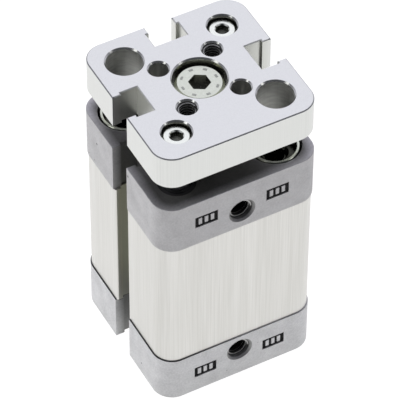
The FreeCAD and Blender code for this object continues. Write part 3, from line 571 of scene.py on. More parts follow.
for number, (sx, sy) in enumerate(FRONT_CORNERS, start=1):
    place = (sx * HOLE_AT, sy * HOLE_AT, front_head - COLLAR_LEAD)
    thread = copy_piece(collar_ridge, f"front_mount_thread_{number}", place)
    settle(thread, "cylinder_body", "zinc_steel", front_zinc)
bpy.data.objects.remove(collar_ridge)

# Barrel: an extruded aluminium tube with T slots on three sides, sawn to length and clear anodised.
# The collar screws draw it tight between the caps, and its lower sawn end gets painted shade at the joint,
# darkest at the left.
# The die gives the eye fine lines and broader faint bands along a satin near-white skin.
anodised = new_material("anodised_extruded_aluminium")
ANODISED_DARK = "#D3D2CD"
ANODISED_LIGHT = "#E0DFDB"
SLOT_LIP_SHADE = "#F0F0E6"
SLOT_CAVITY_SHADE = "#C7C7BC"
SLOT_REACH = 2 * MM
LIP_FULL = 0.55
CAVITY_START = 0.6
CAVITY_FULL = 0.75
BARREL_CORNER = 4.25 * MM
# The real die lines are about 0.05 mm wide, so they are drawn coarser to show.
LINE_WIDTH = 0.3 * MM
LINE_RELIEF = 0.01 * MM
LINE_WEIGHT = 2.2
SCORE_LENGTH = 18 * MM
BAND_WIDTH = 2.6 * MM
LINE_LENGTH = 70 * MM
STREAK_DARK = 1.1
STREAK_LIGHT = 2.1
SAWN_EDGE = 0.05 * MM
SAWN_FADE = 0.25 * MM
SAWN_LEAST = 0.1
ANODISED_SMOOTH = 0.3
ANODISED_ROUGH = 0.46
coords = add_node(anodised, "ShaderNodeTexCoord").outputs["Object"]
line_space = add_node(
    anodised, "ShaderNodeMapping",
    {"Vector": coords, "Scale": (1 / LINE_WIDTH, 1 / LINE_WIDTH, 1 / SCORE_LENGTH)},
)
lines = add_node(anodised, "ShaderNodeTexNoise", {"Vector": line_space.outputs[0], "Scale": 1, "Detail": 2})
band_space = add_node(
    anodised, "ShaderNodeMapping",
    {"Vector": coords, "Scale": (1 / BAND_WIDTH, 1 / BAND_WIDTH, 1 / LINE_LENGTH)},
)
bands = add_node(anodised, "ShaderNodeTexNoise", {"Vector": band_space.outputs[0], "Scale": 1, "Detail": 1})
streak = add_node(
    anodised, "ShaderNodeMath",
    {0: lines.outputs["Fac"], 1: LINE_WEIGHT, 2: bands.outputs["Fac"]}, operation="MULTIPLY_ADD",
)
tone = add_node(
    anodised, "ShaderNodeMapRange",
    {"Value": streak.outputs[0], "From Min": STREAK_DARK, "From Max": STREAK_LIGHT},
)
skin = add_node(
    anodised, "ShaderNodeMix",
    {0: tone.outputs[0], 6: linear(ANODISED_DARK), 7: linear(ANODISED_LIGHT)}, data_type="RGBA",
)
# Painted shade in the slots: the lip walls get an olive darkening and the deeper cavity a flat grey.
slot_depth = depth_inside(anodised, coords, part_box("barrel")[1].x, BARREL_CORNER, SLOT_REACH)
lip = add_node(anodised, "ShaderNodeMapRange", {"Value": slot_depth, "From Max": LIP_FULL})
lipped = add_node(
    anodised, "ShaderNodeMix",
    {0: lip.outputs[0], 6: skin.outputs[2], 7: linear(SLOT_LIP_SHADE)},
    data_type="RGBA", blend_type="MULTIPLY",
)
cavity = add_node(
    anodised, "ShaderNodeMapRange",
    {"Value": slot_depth, "From Min": CAVITY_START, "From Max": CAVITY_FULL},
)
slotted = add_node(
    anodised, "ShaderNodeMix",
    {0: cavity.outputs[0], 6: lipped.outputs[2], 7: linear(SLOT_CAVITY_SHADE)}, data_type="RGBA",
)
# Painted shade: the barrel's lowest edge at the joint, darkest at the left.
spot = add_node(anodised, "ShaderNodeSeparateXYZ", {0: coords})
sawn_end = add_node(anodised, "ShaderNodeMapRange", {
    "Value": spot.outputs["Z"], "From Min": JOINT_HEIGHT + SAWN_EDGE, "From Max": JOINT_HEIGHT + SAWN_FADE,
    "To Min": 1, "To Max": 0,
})
sawn_shade_fade = add_node(anodised, "ShaderNodeMapRange", {
    "Value": spot.outputs["X"],
    "From Min": JOINT_SHADE_FULL_X, "From Max": JOINT_SHADE_FAINT_X, "To Min": 1, "To Max": SAWN_LEAST,
})
sawn_shade = add_node(
    anodised, "ShaderNodeMath", {0: sawn_end.outputs[0], 1: sawn_shade_fade.outputs[0]}, operation="MULTIPLY"
)
anodised_colour = add_node(
    anodised, "ShaderNodeMix",
    {0: sawn_shade.outputs[0], 6: slotted.outputs[2], 7: linear(JOINT_SHADE)},
    data_type="RGBA", blend_type="MULTIPLY",
)
anodised_rough = add_node(
    anodised, "ShaderNodeMapRange",
    {"Value": lines.outputs["Fac"], "To Min": ANODISED_SMOOTH, "To Max": ANODISED_ROUGH},
)
anodised_bump = add_node(
    anodised, "ShaderNodeBump", {"Height": lines.outputs["Fac"], "Strength": 0.12, "Distance": LINE_RELIEF}
)
finish_material(anodised, add_node(anodised, "ShaderNodeBsdfPrincipled", {
    "Base Color": anodised_colour.outputs[2],
    "Metallic": 0.92,
    "Roughness": anodised_rough.outputs[0],
    "Normal": anodised_bump.outputs[0],
}))
coat_nodes(anodised, "barrel")

# Seals, wipers and end buffers: moulded black rubber, pressed into their grooves and seats.
# Rubber looks matt and nearly black, with a faint grey bloom.
rubber = new_material("moulded_nitrile_rubber")
RUBBER_DARK = "#101011"
RUBBER_BLOOM = "#1E1E20"
BLOOM_SIZE = 1.2 * MM
RUBBER_SMOOTH = 0.45
RUBBER_ROUGH = 0.65
coords = add_node(rubber, "ShaderNodeTexCoord").outputs["Object"]
bloom = add_node(rubber, "ShaderNodeTexNoise", {"Vector": coords, "Scale": 1 / BLOOM_SIZE, "Detail": 4})
rubber_colour = add_node(
    rubber, "ShaderNodeMix",
    {0: bloom.outputs["Fac"], 6: linear(RUBBER_DARK), 7: linear(RUBBER_BLOOM)}, data_type="RGBA",
)
rubber_rough = add_node(
    rubber, "ShaderNodeMapRange",
    {"Value": bloom.outputs["Fac"], "To Min": RUBBER_SMOOTH, "To Max": RUBBER_ROUGH},
)
finish_material(rubber, add_node(rubber, "ShaderNodeBsdfPrincipled", {
    "Base Color": rubber_colour.outputs[2], "Roughness": rubber_rough.outputs[0],
}))
coat_nodes(
    rubber, "rear_cap_ring", "front_cap_ring", "rod_seal", "rear_buffer", "front_buffer",
    "guide_wiper_near", "guide_wiper_far", "piston_seal_rear", "piston_seal_front", "stem_ring",
)

# Piston: two turned aluminium halves that clamp a bonded magnet and a plastic guide ring.
# A bolt holds them on the end of the piston rod, out of sight in the bore.
# Turning gives the eye fine bright rings, one for each feed of the tool.
turned = new_material("turned_aluminium")
TURNED_DARK = "#B9BABC"
TURNED_LIGHT = "#D9DADC"
TOOL_FEED = 0.15 * MM
# A Wave texture repeats at this distance when its scale is 1.
WAVE_REPEAT = math.tau / 20
coords = add_node(turned, "ShaderNodeTexCoord").outputs["Object"]
feed_lines = add_node(
    turned, "ShaderNodeTexWave",
    {"Vector": coords, "Scale": WAVE_REPEAT / TOOL_FEED, "Distortion": 0.4},
    wave_type="BANDS", bands_direction="Z",
)
turned_colour = add_node(
    turned, "ShaderNodeMix",
    {0: feed_lines.outputs["Fac"], 6: linear(TURNED_DARK), 7: linear(TURNED_LIGHT)}, data_type="RGBA",
)
finish_material(turned, add_node(turned, "ShaderNodeBsdfPrincipled", {
    "Base Color": turned_colour.outputs[2], "Metallic": 1.0, "Roughness": 0.3,
}))
coat_nodes(turned, "piston_rear_half", "piston_front_half")

# Bearing bushes and the piston's inner rings: sintered bronze, a filled plastic and a bonded magnet.
# The bushes are pressed into the front cap, and the rings sit between the piston's halves.
# Pressed powder gives each of them a fine granular look.
GRANULE = 0.25 * MM
GRANULAR = (
    ("sintered_bronze", "#8C6A3F", "#B08A55", 1.0, 0.45, ("rod_bush", "guide_bush_near", "guide_bush_far")),
    ("filled_ptfe", "#8E6F4A", "#A58258", 0.0, 0.5, ("guide_ring",)),
    ("bonded_ferrite_magnet", "#3A3A3D", "#515155", 0.0, 0.6, ("magnet_ring",)),
)
for name, dark, light, metallic, roughness, nodes in GRANULAR:
    granular = new_material(name)
    coords = add_node(granular, "ShaderNodeTexCoord").outputs["Object"]
    grains = add_node(granular, "ShaderNodeTexNoise", {"Vector": coords, "Scale": 1 / GRANULE, "Detail": 2})
    granular_colour = add_node(
        granular, "ShaderNodeMix",
        {0: grains.outputs["Fac"], 6: linear(dark), 7: linear(light)}, data_type="RGBA",
    )
    finish_material(granular, add_node(granular, "ShaderNodeBsdfPrincipled", {
        "Base Color": granular_colour.outputs[2], "Metallic": metallic, "Roughness": roughness,
    }))
    coat_nodes(granular, *nodes)

# Piston rod and guide rods: ground and hard-chromed steel bars, screwed to the tool plate.
# Grinding gives the eye very fine rings round the bar, under a mirror-like chrome.
# The real rings are under 0.05 mm wide, so they are drawn coarser to show.
chrome = new_material("ground_chromed_steel")
CHROME_DARK = "#B4B7BA"
CHROME_LIGHT = "#D6D8DA"
GRIND_WIDTH = 0.2 * MM
GRIND_ARC = 25 * MM
CHROME_SMOOTH = 0.1
CHROME_ROUGH = 0.22
coords = add_node(chrome, "ShaderNodeTexCoord").outputs["Object"]
grind_space = add_node(
    chrome, "ShaderNodeMapping",
    {"Vector": coords, "Scale": (1 / GRIND_ARC, 1 / GRIND_ARC, 1 / GRIND_WIDTH)},
)
grind = add_node(chrome, "ShaderNodeTexNoise", {"Vector": grind_space.outputs[0], "Scale": 1, "Detail": 2})
chrome_colour = add_node(
    chrome, "ShaderNodeMix",
    {0: grind.outputs["Fac"], 6: linear(CHROME_DARK), 7: linear(CHROME_LIGHT)}, data_type="RGBA",
)
chrome_rough = add_node(
    chrome, "ShaderNodeMapRange",
    {"Value": grind.outputs["Fac"], "To Min": CHROME_SMOOTH, "To Max": CHROME_ROUGH},
)
finish_material(chrome, add_node(chrome, "ShaderNodeBsdfPrincipled", {
    "Base Color": chrome_colour.outputs[2], "Metallic": 1.0, "Roughness": chrome_rough.outputs[0],
}))
coat_nodes(chrome, "piston_rod", "guide_rod_near", "guide_rod_far")

# Tool plate: a slice of aluminium bar, milled, drilled and clear anodised.
# One screw holds it on the piston rod and two hold it on the guide rods.
# Milling gives the eye a fine even satin on top, the bar faint upright lines, the drill rings in its holes.
satin = new_material("anodised_milled_aluminium")
SATIN_DARK = "#D6D7D4"
SATIN_LIGHT = "#DFE0DD"
PLATE_HOLLOW_SHADE = "#F8F8F5"
PLATE_TOP_SHADE = "#F9F9F9"
SATIN_SIDE = "#FFFFFF"
PLATE_EDGE_SHADE = "#B4B4BA"
SATIN_SEAT = "#FCFCF4"
SATIN_SEAT_FOOT = "#CACAC0"
SATIN_CORNER_SEAT = "#94948E"
PLATE_UNDER_HIGHLIGHT = "#FBFBFA"
DRILL_DARK = "#ECEBEC"
# The drill rings, the satin grain and the side lines are drawn coarser than they are, to show.
DRILL_RING = 0.5 * MM
DRILL_SMEAR = 2 * MM
RING_CLEAR = 0.35
RING_DULL = 0.65
RIM_ROUGHNESS = 0.2
EDGE_ROUGHNESS = 0.5
NOTCH_FROM = 11.2 * MM
PLATE_NOTCH_REACH = 1.5 * MM
OUTSIDE_SHARE = 0.3
MIDDLE_SEAT_RADIUS = 5.6 * MM
CORNER_SEAT_RADIUS = 3.1 * MM
ACCESS_EDGE = 4.6 * MM
SATIN_GRAIN = 0.22 * MM
SATIN_RELIEF = 0.01 * MM
SATIN_SMOOTH = 0.28
SATIN_ROUGH = 0.42
GRAIN_DARK = 0.3
GRAIN_LIGHT = 0.7
DRILLED_ROUGHNESS = 0.55
BORED_ROUGHNESS = 0.18
ACCESS_RADIUS = 4.2 * MM
SIDE_LINE = 0.16 * MM
WALL_UP_TO = 0.3
TOP_FROM = 0.8
BEVEL_TILT = 0.7
BEVEL_SPREAD = 0.2
plate_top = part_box("yoke_plate")[1].z
yoke_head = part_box("yoke_screw")[1].z
coords = add_node(satin, "ShaderNodeTexCoord").outputs["Object"]
facing = add_node(satin, "ShaderNodeNewGeometry").outputs["Normal"]
upness = add_node(satin, "ShaderNodeSeparateXYZ", {0: facing}).outputs["Z"]
side_space = add_node(
    satin, "ShaderNodeMapping", {"Vector": coords, "Scale": (1 / SIDE_LINE, 1 / SIDE_LINE, 1 / LINE_LENGTH)}
)
side_lines = add_node(
    satin, "ShaderNodeTexNoise", {"Vector": side_space.outputs[0], "Scale": 1, "Detail": 2}
)
milling = add_node(satin, "ShaderNodeTexNoise", {"Vector": coords, "Scale": 1 / SATIN_GRAIN, "Detail": 3})
flatness = add_node(satin, "ShaderNodeMath", {0: upness}, operation="ABSOLUTE")
finish_lines = add_node(
    satin, "ShaderNodeMix",
    {0: flatness.outputs[0], 2: side_lines.outputs["Fac"], 3: milling.outputs["Fac"]},
)
satin_tone = add_node(
    satin, "ShaderNodeMapRange",
    {"Value": finish_lines.outputs[0], "From Min": GRAIN_DARK, "From Max": GRAIN_LIGHT},
)
skin = add_node(
    satin, "ShaderNodeMix",
    {0: satin_tone.outputs[0], 6: linear(SATIN_DARK), 7: linear(SATIN_LIGHT)}, data_type="RGBA",
)
not_top = add_node(
    satin, "ShaderNodeMapRange",
    {"Value": upness, "From Min": WALL_UP_TO, "From Max": TOP_FROM, "To Min": 1, "To Max": 0},
)
satin_depth = depth_inside(satin, coords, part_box("yoke_plate")[1].x, CAP_CORNER, PLATE_NOTCH_REACH)
# Painted shade: notch and hole walls darken inwards from the outer skin.
hollow = add_node(satin, "ShaderNodeMath", {0: satin_depth, 1: not_top.outputs[0]}, operation="MULTIPLY")
# Painted shade: the top is a shade darker than the sides.
sided = add_node(
    satin, "ShaderNodeMix",
    {0: not_top.outputs[0], 6: linear(PLATE_TOP_SHADE), 7: linear(SATIN_SIDE)}, data_type="RGBA",
)
shaded = add_node(
    satin, "ShaderNodeMix", {0: 1.0, 6: skin.outputs[2], 7: sided.outputs[2]},
    data_type="RGBA", blend_type="MULTIPLY",
)
hollowed = add_node(
    satin, "ShaderNodeMix", {0: hollow.outputs[0], 6: shaded.outputs[2], 7: linear(PLATE_HOLLOW_SHADE)},
    data_type="RGBA", blend_type="MULTIPLY",
)
# Painted shade in the counterbores: the middle seat's wall darkens towards the screw head, and the corner
# seats are darker all over.
across = add_node(satin, "ShaderNodeVectorMath", {0: coords, 1: (1, 1, 0)}, operation="MULTIPLY")
from_axis = add_node(satin, "ShaderNodeVectorMath", {0: across.outputs[0]}, operation="LENGTH")
middle_seat = add_node(
    satin, "ShaderNodeMath", {0: from_axis.outputs["Value"], 1: MIDDLE_SEAT_RADIUS}, operation="LESS_THAN"
)
mirrored = add_node(satin, "ShaderNodeVectorMath", {0: across.outputs[0]}, operation="ABSOLUTE")
from_corner = add_node(
    satin, "ShaderNodeVectorMath", {0: mirrored.outputs[0], 1: (HOLE_AT, HOLE_AT, 0)}, operation="DISTANCE"
)
corner_seat = add_node(
    satin, "ShaderNodeMath",
    {0: from_corner.outputs["Value"], 1: CORNER_SEAT_RADIUS}, operation="LESS_THAN",
)
seats = add_node(
    satin, "ShaderNodeMath", {0: middle_seat.outputs[0], 1: corner_seat.outputs[0]}, operation="MAXIMUM"
)
seat_wall = add_node(
    satin, "ShaderNodeMath", {0: seats.outputs[0], 1: not_top.outputs[0]}, operation="MULTIPLY"
)
height = add_node(satin, "ShaderNodeSeparateXYZ", {0: coords}).outputs["Z"]
seat_mouth = add_node(
    satin, "ShaderNodeMapRange", {"Value": height, "From Min": yoke_head, "From Max": plate_top}
)
middle_tone = add_node(
    satin, "ShaderNodeMix",
    {0: seat_mouth.outputs[0], 6: linear(SATIN_SEAT_FOOT), 7: linear(SATIN_SEAT)}, data_type="RGBA",
)
seat_tone = add_node(
    satin, "ShaderNodeMix",
    {0: corner_seat.outputs[0], 6: middle_tone.outputs[2], 7: linear(SATIN_CORNER_SEAT)}, data_type="RGBA",
)
seated = add_node(
    satin, "ShaderNodeMix", {0: seat_wall.outputs[0], 6: hollowed.outputs[2], 7: seat_tone.outputs[2]},
    data_type="RGBA", blend_type="MULTIPLY",
)
# Painted shade: a dark line along the plate's outer top chamfer.
bevel = add_node(
    satin, "ShaderNodeMath", {0: upness, 1: BEVEL_TILT, 2: BEVEL_SPREAD}, operation="COMPARE"
)
under_bevel = add_node(
    satin, "ShaderNodeMath", {0: upness, 1: -BEVEL_TILT, 2: BEVEL_SPREAD}, operation="COMPARE"
)
outside = add_node(satin, "ShaderNodeMath", {0: satin_depth, 1: OUTSIDE_SHARE}, operation="LESS_THAN")
outer_edge = add_node(
    satin, "ShaderNodeMath", {0: bevel.outputs[0], 1: outside.outputs[0]}, operation="MULTIPLY"
)
edged = add_node(
    satin, "ShaderNodeMix", {0: outer_edge.outputs[0], 6: seated.outputs[2], 7: linear(PLATE_EDGE_SHADE)},
    data_type="RGBA", blend_type="MULTIPLY",
)
# Painted highlight: the lower chamfer is set near-white, for the floor's reflection.
beneath = add_node(
    satin, "ShaderNodeMix", {0: under_bevel.outputs[0], 6: edged.outputs[2], 7: linear(PLATE_UNDER_HIGHLIGHT)},
    data_type="RGBA",
)
in_corner = add_node(
    satin, "ShaderNodeMath", {0: from_corner.outputs["Value"], 1: ACCESS_RADIUS}, operation="LESS_THAN"
)
drilled = add_node(
    satin, "ShaderNodeMath", {0: in_corner.outputs[0], 1: hollow.outputs[0]}, operation="MULTIPLY"
)
drill_space = add_node(
    satin, "ShaderNodeMapping",
    {"Vector": coords, "Scale": (1 / DRILL_SMEAR, 1 / DRILL_SMEAR, 1 / DRILL_RING)},
)
drill_rings = add_node(
    satin, "ShaderNodeTexNoise", {"Vector": drill_space.outputs[0], "Scale": 1, "Detail": 3}
)
dull_ring = add_node(
    satin, "ShaderNodeMapRange",
    {"Value": drill_rings.outputs["Fac"], "From Min": RING_CLEAR, "From Max": RING_DULL},
)
ring_share = add_node(
    satin, "ShaderNodeMath", {0: drilled.outputs[0], 1: dull_ring.outputs[0]}, operation="MULTIPLY"
)
satin_colour = add_node(
    satin, "ShaderNodeMix", {0: ring_share.outputs[0], 6: beneath.outputs[2], 7: linear(DRILL_DARK)},
    data_type="RGBA", blend_type="MULTIPLY",
)
faced_rough = add_node(
    satin, "ShaderNodeMapRange",
    {"Value": finish_lines.outputs[0], "To Min": SATIN_SMOOTH, "To Max": SATIN_ROUGH},
)
drilled_rough = add_node(
    satin, "ShaderNodeMix", {0: drilled.outputs[0], 2: faced_rough.outputs[0], 3: DRILLED_ROUGHNESS}
)
milled_rough = add_node(
    satin, "ShaderNodeMix", {0: seat_wall.outputs[0], 2: drilled_rough.outputs[0], 3: BORED_ROUGHNESS}
)
far_out = add_node(
    satin, "ShaderNodeMath", {0: from_axis.outputs["Value"], 1: NOTCH_FROM}, operation="GREATER_THAN"
)
off_holes = add_node(
    satin, "ShaderNodeMath", {0: from_corner.outputs["Value"], 1: ACCESS_EDGE}, operation="GREATER_THAN"
)
notch_edge = add_node(
    satin, "ShaderNodeMath", {0: far_out.outputs[0], 1: off_holes.outputs[0]}, operation="MULTIPLY"
)
rim_rough = add_node(
    satin, "ShaderNodeMix", {0: notch_edge.outputs[0], 2: RIM_ROUGHNESS, 3: EDGE_ROUGHNESS}
)
satin_rough = add_node(
    satin, "ShaderNodeMix", {0: bevel.outputs[0], 2: milled_rough.outputs[0], 3: rim_rough.outputs[0]}
)
satin_bump = add_node(
    satin, "ShaderNodeBump", {"Height": finish_lines.outputs[0], "Strength": 0.1, "Distance": SATIN_RELIEF}
)
finish_material(satin, add_node(satin, "ShaderNodeBsdfPrincipled", {
    "Base Color": satin_colour.outputs[2],
    "Metallic": 0.95,
    "Roughness": satin_rough.outputs[0],
    "Normal": satin_bump.outputs[0],
}))
coat_nodes(satin, "yoke_plate")

# Tool threads: two M4 threads tapped through the plate's own aluminium, beside two plain dowel holes.
# Their ridges get more painted shade than those of the air ports.
M4_PITCH = 0.7 * MM
M4_MINOR = 1.621 * MM
M4_MAJOR = 2 * MM
M4_TURNS = 10
TOOL_CIRCLE = 17 * MM
TOOL_AT = TOOL_CIRCLE / math.sqrt(8)
TOOL_LEAD = 0.5 * MM
TOOL_BRIGHT = 20 * MM
TOOL_GAIN = 0.72
m4_ridge = wind_thread("m4_ridge", M4_PITCH, M4_MINOR, M4_MAJOR, M4_TURNS, TOOL_BRIGHT, TOOL_GAIN)
for name, sign in (("tool_thread_near", -1), ("tool_thread_far", 1)):
    thread = copy_piece(m4_ridge, name, (sign * TOOL_AT, sign * TOOL_AT, plate_top - TOOL_LEAD))
    settle(thread, "piston_carriage", "plate_aluminium", tapped)
bpy.data.objects.remove(m4_ridge)

# Guide screws: a cap screw through the plate into the end of each guide rod, zinc plated steel.
# The head is cold-formed, with a rounded rim; its key socket has a coned mouth and a drilled floor.
# It sits in a counterbore below the top of the plate.
GUIDE_SHADE = "#6C6D66"
GUIDE_TONES = ("#D9DCD2", "#ECEEE6")
GUIDE_HEAD_RADIUS = 2.75 * MM
GUIDE_HEAD_HEIGHT = 3 * MM
GUIDE_SHANK_RADIUS = 1.5 * MM
GUIDE_SHANK_LENGTH = 8.5 * MM
GUIDE_RIM = 0.3 * MM
HEAD_SIDES = 48
HEAD_ANGLE = math.radians(30)
LEVEL_NORMAL = 0.99
LEVEL_BAND = 0.01 * MM
KEY_SIDES = 6
KEY_APOTHEM = 1.25 * MM
KEY_MOUTH = 1.55 * MM
KEY_CONE = 0.2 * MM
KEY_DEPTH = 1.1 * MM
KEY_DRILL = 1.0 * MM
KEY_POINT = 0.3 * MM


def select_faces(piece, height, upwards):
    bpy.ops.object.mode_set(mode="OBJECT")
    for face in piece.data.polygons:
        level = face.normal.z * upwards > LEVEL_NORMAL
        face.select = level and abs(face.center.z - height) < LEVEL_BAND
    bpy.ops.object.mode_set(mode="EDIT")


def round_loop(piece, radius_at):
    bpy.ops.object.mode_set(mode="OBJECT")
    for vertex in piece.data.vertices:
        if vertex.select:
            angle = math.atan2(vertex.co.y, vertex.co.x)
            vertex.co.x = radius_at(angle) * math.cos(angle)
            vertex.co.y = radius_at(angle) * math.sin(angle)
    bpy.ops.object.mode_set(mode="EDIT")


def key_radius(angle):
    return KEY_APOTHEM / math.cos(angle % (math.tau / KEY_SIDES) - math.pi / KEY_SIDES)


def sink(depth):
    bpy.ops.mesh.extrude_region_move(TRANSFORM_OT_translate={"value": (0, 0, -depth)})


guide_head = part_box("guide_screws")[1].z
guide_foot = guide_head - GUIDE_HEAD_HEIGHT
deselect_all()
bpy.ops.mesh.primitive_cylinder_add(
    vertices=HEAD_SIDES, radius=GUIDE_HEAD_RADIUS, depth=GUIDE_HEAD_HEIGHT,
    location=(0, 0, guide_head - GUIDE_HEAD_HEIGHT / 2),
)
cap_screw = bpy.context.object
cap_screw.name = "guide_cap_screws"
bpy.ops.object.transform_apply(location=True, rotation=True, scale=True)
bpy.ops.object.mode_set(mode="EDIT")
bpy.ops.mesh.select_mode(type="FACE")
select_faces(cap_screw, guide_foot, -1)
bpy.ops.mesh.inset(thickness=GUIDE_HEAD_RADIUS - GUIDE_SHANK_RADIUS)
sink(GUIDE_SHANK_LENGTH)
select_faces(cap_screw, guide_head, 1)
bpy.ops.mesh.bevel(offset=GUIDE_RIM, segments=4)
select_faces(cap_screw, guide_head, 1)
bpy.ops.mesh.inset(thickness=GUIDE_HEAD_RADIUS - GUIDE_RIM - KEY_MOUTH)
sink(KEY_CONE)
round_loop(cap_screw, key_radius)
sink(KEY_DEPTH)
bpy.ops.mesh.inset(thickness=KEY_APOTHEM - KEY_DRILL)
round_loop(cap_screw, lambda angle: KEY_DRILL)
sink(KEY_POINT)
bpy.ops.mesh.merge(type="CENTER")
bpy.ops.object.mode_set(mode="OBJECT")
bpy.ops.object.shade_smooth_by_angle(angle=HEAD_ANGLE)
far_screw = copy_piece(cap_screw, "far_guide_cap_screw", (HOLE_AT, HOLE_AT, 0))
deselect_all()
cap_screw.select_set(True)
bpy.context.view_layer.objects.active = cap_screw
cap_screw.location = (-HOLE_AT, -HOLE_AT, 0)
bpy.ops.object.transform_apply(location=True, rotation=True, scale=True)
far_screw.select_set(True)
bpy.ops.object.join()
# The key socket, lightest at its coned mouth, and the head's sides below the rim get painted shade.
guide_zinc = plate_with_zinc(
    "zinc_plated_guide_screw", GUIDE_TONES, guide_head, -1, HOLE_AT, KEY_MOUTH, GUIDE_SHADE
)
settle(cap_screw, "piston_carriage", "zinc_steel", guide_zinc)
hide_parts("guide_screws")

# Plate screw: a low-head screw through the plate into the piston rod, zinc plated steel.
# Its head sits in a counterbore and carries a ring of plain raised bars.
# The key socket and the head's sides below its rim get painted shade.
YOKE_SHADE = "#9A9B93"
YOKE_SOCKET = 2.4 * MM
yoke_zinc = plate_with_zinc(
    "zinc_plated_yoke_screw", ZINC_TONES, yoke_head, -1, 0, YOKE_SOCKET, YOKE_SHADE
)
coat_nodes(yoke_zinc, "yoke_screw")
# Stamping roughens the zinc, so the bars look duller and greyer than the head.
stamped = new_material("stamped_zinc")
STAMPED_DARK = "#8A8C85"
STAMPED_LIGHT = "#AAACA4"
coords = add_node(stamped, "ShaderNodeTexCoord").outputs["Object"]
smear = add_node(stamped, "ShaderNodeTexNoise", {"Vector": coords, "Scale": 1 / ZINC_GRAIN, "Detail": 2})
stamped_colour = add_node(
    stamped, "ShaderNodeMix",
    {0: smear.outputs["Fac"], 6: linear(STAMPED_DARK), 7: linear(STAMPED_LIGHT)}, data_type="RGBA",
)
finish_material(stamped, add_node(stamped, "ShaderNodeBsdfPrincipled", {
    "Base Color": stamped_colour.outputs[2], "Metallic": 1.0, "Roughness": 0.4,
}))
MARK_COUNT = 8
MARK_AT = 3.7 * MM
MARK_LENGTH = 0.85 * MM
MARK_WIDTH = 0.5 * MM
MARK_RISE = 0.04 * MM
mark_size = (MARK_WIDTH, MARK_LENGTH, 2 * MARK_RISE)
mark = bevelled_block("head_marks", (MARK_AT, 0, yoke_head), mark_size, MARK_RISE / 2)
ring = [mark]
for number in range(1, MARK_COUNT):
    turn = (0, 0, math.tau * number / MARK_COUNT)
    ring.append(copy_piece(mark, f"head_mark_{number}", turn=turn))
deselect_all()
for bar in ring:
    bar.select_set(True)
bpy.context.view_layer.objects.active = mark
bpy.ops.object.join()
settle(mark, "piston_carriage", "zinc_steel", stamped)

# Studio: a sweep of matt paper, even white to the camera and in the metal, a dim room on the camera's side,
# a soft box on each side of the camera, and a low bounce lamp at the left.
# Metal doesn't mirror the bounce lamp, so it lights the matt castings alone.
paper = new_material("white_paper_sweep")
PAPER_WHITE = "#F8F8F6"
PAPER_SHOWN = 0.85
PAPER_GLOW = 1.18
SWEEP_SIZE = 6
SWEEP_DROP = 0.02 * MM
path = add_node(paper, "ShaderNodeLightPath")
seen = add_node(paper, "ShaderNodeMath", {
    0: path.outputs["Is Camera Ray"], 1: path.outputs["Is Glossy Ray"],
}, operation="MAXIMUM")
shown = add_node(paper, "ShaderNodeMath", {
    0: seen.outputs[0], 1: path.outputs["Is Transmission Ray"],
}, operation="MAXIMUM")
share = add_node(paper, "ShaderNodeMath", {0: shown.outputs[0], 1: PAPER_SHOWN}, operation="MULTIPLY")
matt = add_node(paper, "ShaderNodeBsdfDiffuse", {"Color": linear(PAPER_WHITE)})
white = add_node(paper, "ShaderNodeEmission", {"Strength": PAPER_GLOW})
finish_material(paper, add_node(paper, "ShaderNodeMixShader", {
    0: share.outputs[0], 1: matt.outputs[0], 2: white.outputs[0],
}))
deselect_all()
bpy.ops.mesh.primitive_plane_add(size=SWEEP_SIZE, location=(0, 0, -SWEEP_DROP))
sweep = bpy.context.object
sweep.name = "paper_sweep"
sweep.data.materials.append(paper)

room = bpy.data.worlds.new("studio_room")
bpy.context.scene.world = room
room.use_nodes = True
room.node_tree.nodes.clear()
ROOM_DIM = "#45464A"
SWEEP_GLOW = "#F4F4FF"
ROOM_LIGHT = 1.24
GLOW_START = 0.2
GLOW_FULL = 0.75
SWEEP_SIDE = Vector((0.33, 0.60, 0.73)).normalized()
ray = add_node(room, "ShaderNodeTexCoord").outputs["Generated"]
towards = add_node(room, "ShaderNodeVectorMath", {0: ray, 1: SWEEP_SIDE}, operation="DOT_PRODUCT")
rise = add_node(
    room, "ShaderNodeMapRange",
    {"Value": towards.outputs["Value"], "From Min": GLOW_START, "From Max": GLOW_FULL},
    interpolation_type="SMOOTHSTEP",
)
room_colour = add_node(
    room, "ShaderNodeMix",
    {0: rise.outputs[0], 6: linear(ROOM_DIM), 7: linear(SWEEP_GLOW)}, data_type="RGBA",
)
glow = add_node(room, "ShaderNodeBackground", {"Color": room_colour.outputs[2], "Strength": ROOM_LIGHT})
add_node(room, "ShaderNodeOutputWorld", {"Surface": glow.outputs[0]})

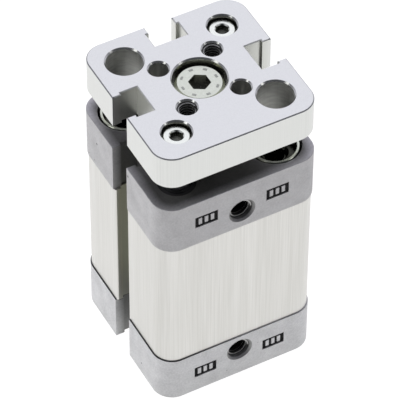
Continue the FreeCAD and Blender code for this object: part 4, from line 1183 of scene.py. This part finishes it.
LAMP_AIM = Vector((0, 0, 35 * MM))
SOFT_BOXES = (
    ("soft_box_left", (-0.55, 0.0, 0.38), 0.2, 0.25, True),
    ("soft_box_right", (0.42, -0.40, 0.36), 0.14, 0.12, True),
    ("bounce_left", (-0.45, 0.42, 0.13), 0.12, 1.4, False),
)
for name, place, side, power, shows_in_metal in SOFT_BOXES:
    deselect_all()
    bpy.ops.object.light_add(type="AREA", location=place)
    box = bpy.context.object
    box.name = name
    box.data.shape = "SQUARE"
    box.data.size = side
    box.data.energy = power
    box.visible_camera = False
    box.visible_glossy = shows_in_metal
    beam = LAMP_AIM - Vector(place)
    box.rotation_euler = beam.to_track_quat("-Z", "Y").to_euler()

# Camera: a long lens looking down at the port face from its left, framed as a 400 x 400 picture.
# It stands well back, so upright edges draw together only a little.
CAMERA_AZIMUTH = math.radians(-28.506)
CAMERA_ELEVATION = math.radians(46.936)
CAMERA_ROLL = math.radians(0.336)
CAMERA_DISTANCE = 680.35 * MM
CAMERA_AIM = Vector((0.283, 0.087, 35.539)) * MM
FOCAL_PIXELS = 3327.6
PICTURE_PIXELS = 400
SENSOR_WIDTH = 36
CLIP_NEAR = 0.01
CLIP_FAR = 20
back = Vector((
    math.sin(CAMERA_AZIMUTH) * math.cos(CAMERA_ELEVATION),
    -math.cos(CAMERA_AZIMUTH) * math.cos(CAMERA_ELEVATION),
    math.sin(CAMERA_ELEVATION),
))
sideways = Vector((math.cos(CAMERA_AZIMUTH), math.sin(CAMERA_AZIMUTH), 0))
upwards = back.cross(sideways)
right = sideways * math.cos(CAMERA_ROLL) + upwards * math.sin(CAMERA_ROLL)
top = back.cross(right)
deselect_all()
bpy.ops.object.camera_add()
camera = bpy.context.object
camera.name = "camera"
attitude = Matrix((right, top, back)).transposed().to_4x4()
camera.matrix_world = Matrix.Translation(CAMERA_AIM + back * CAMERA_DISTANCE) @ attitude
camera.data.sensor_width = SENSOR_WIDTH
camera.data.lens = FOCAL_PIXELS * SENSOR_WIDTH / PICTURE_PIXELS
camera.data.clip_start = CLIP_NEAR
camera.data.clip_end = CLIP_FAR
bpy.context.scene.camera = camera
bpy.context.scene.view_settings.view_transform = "Standard"
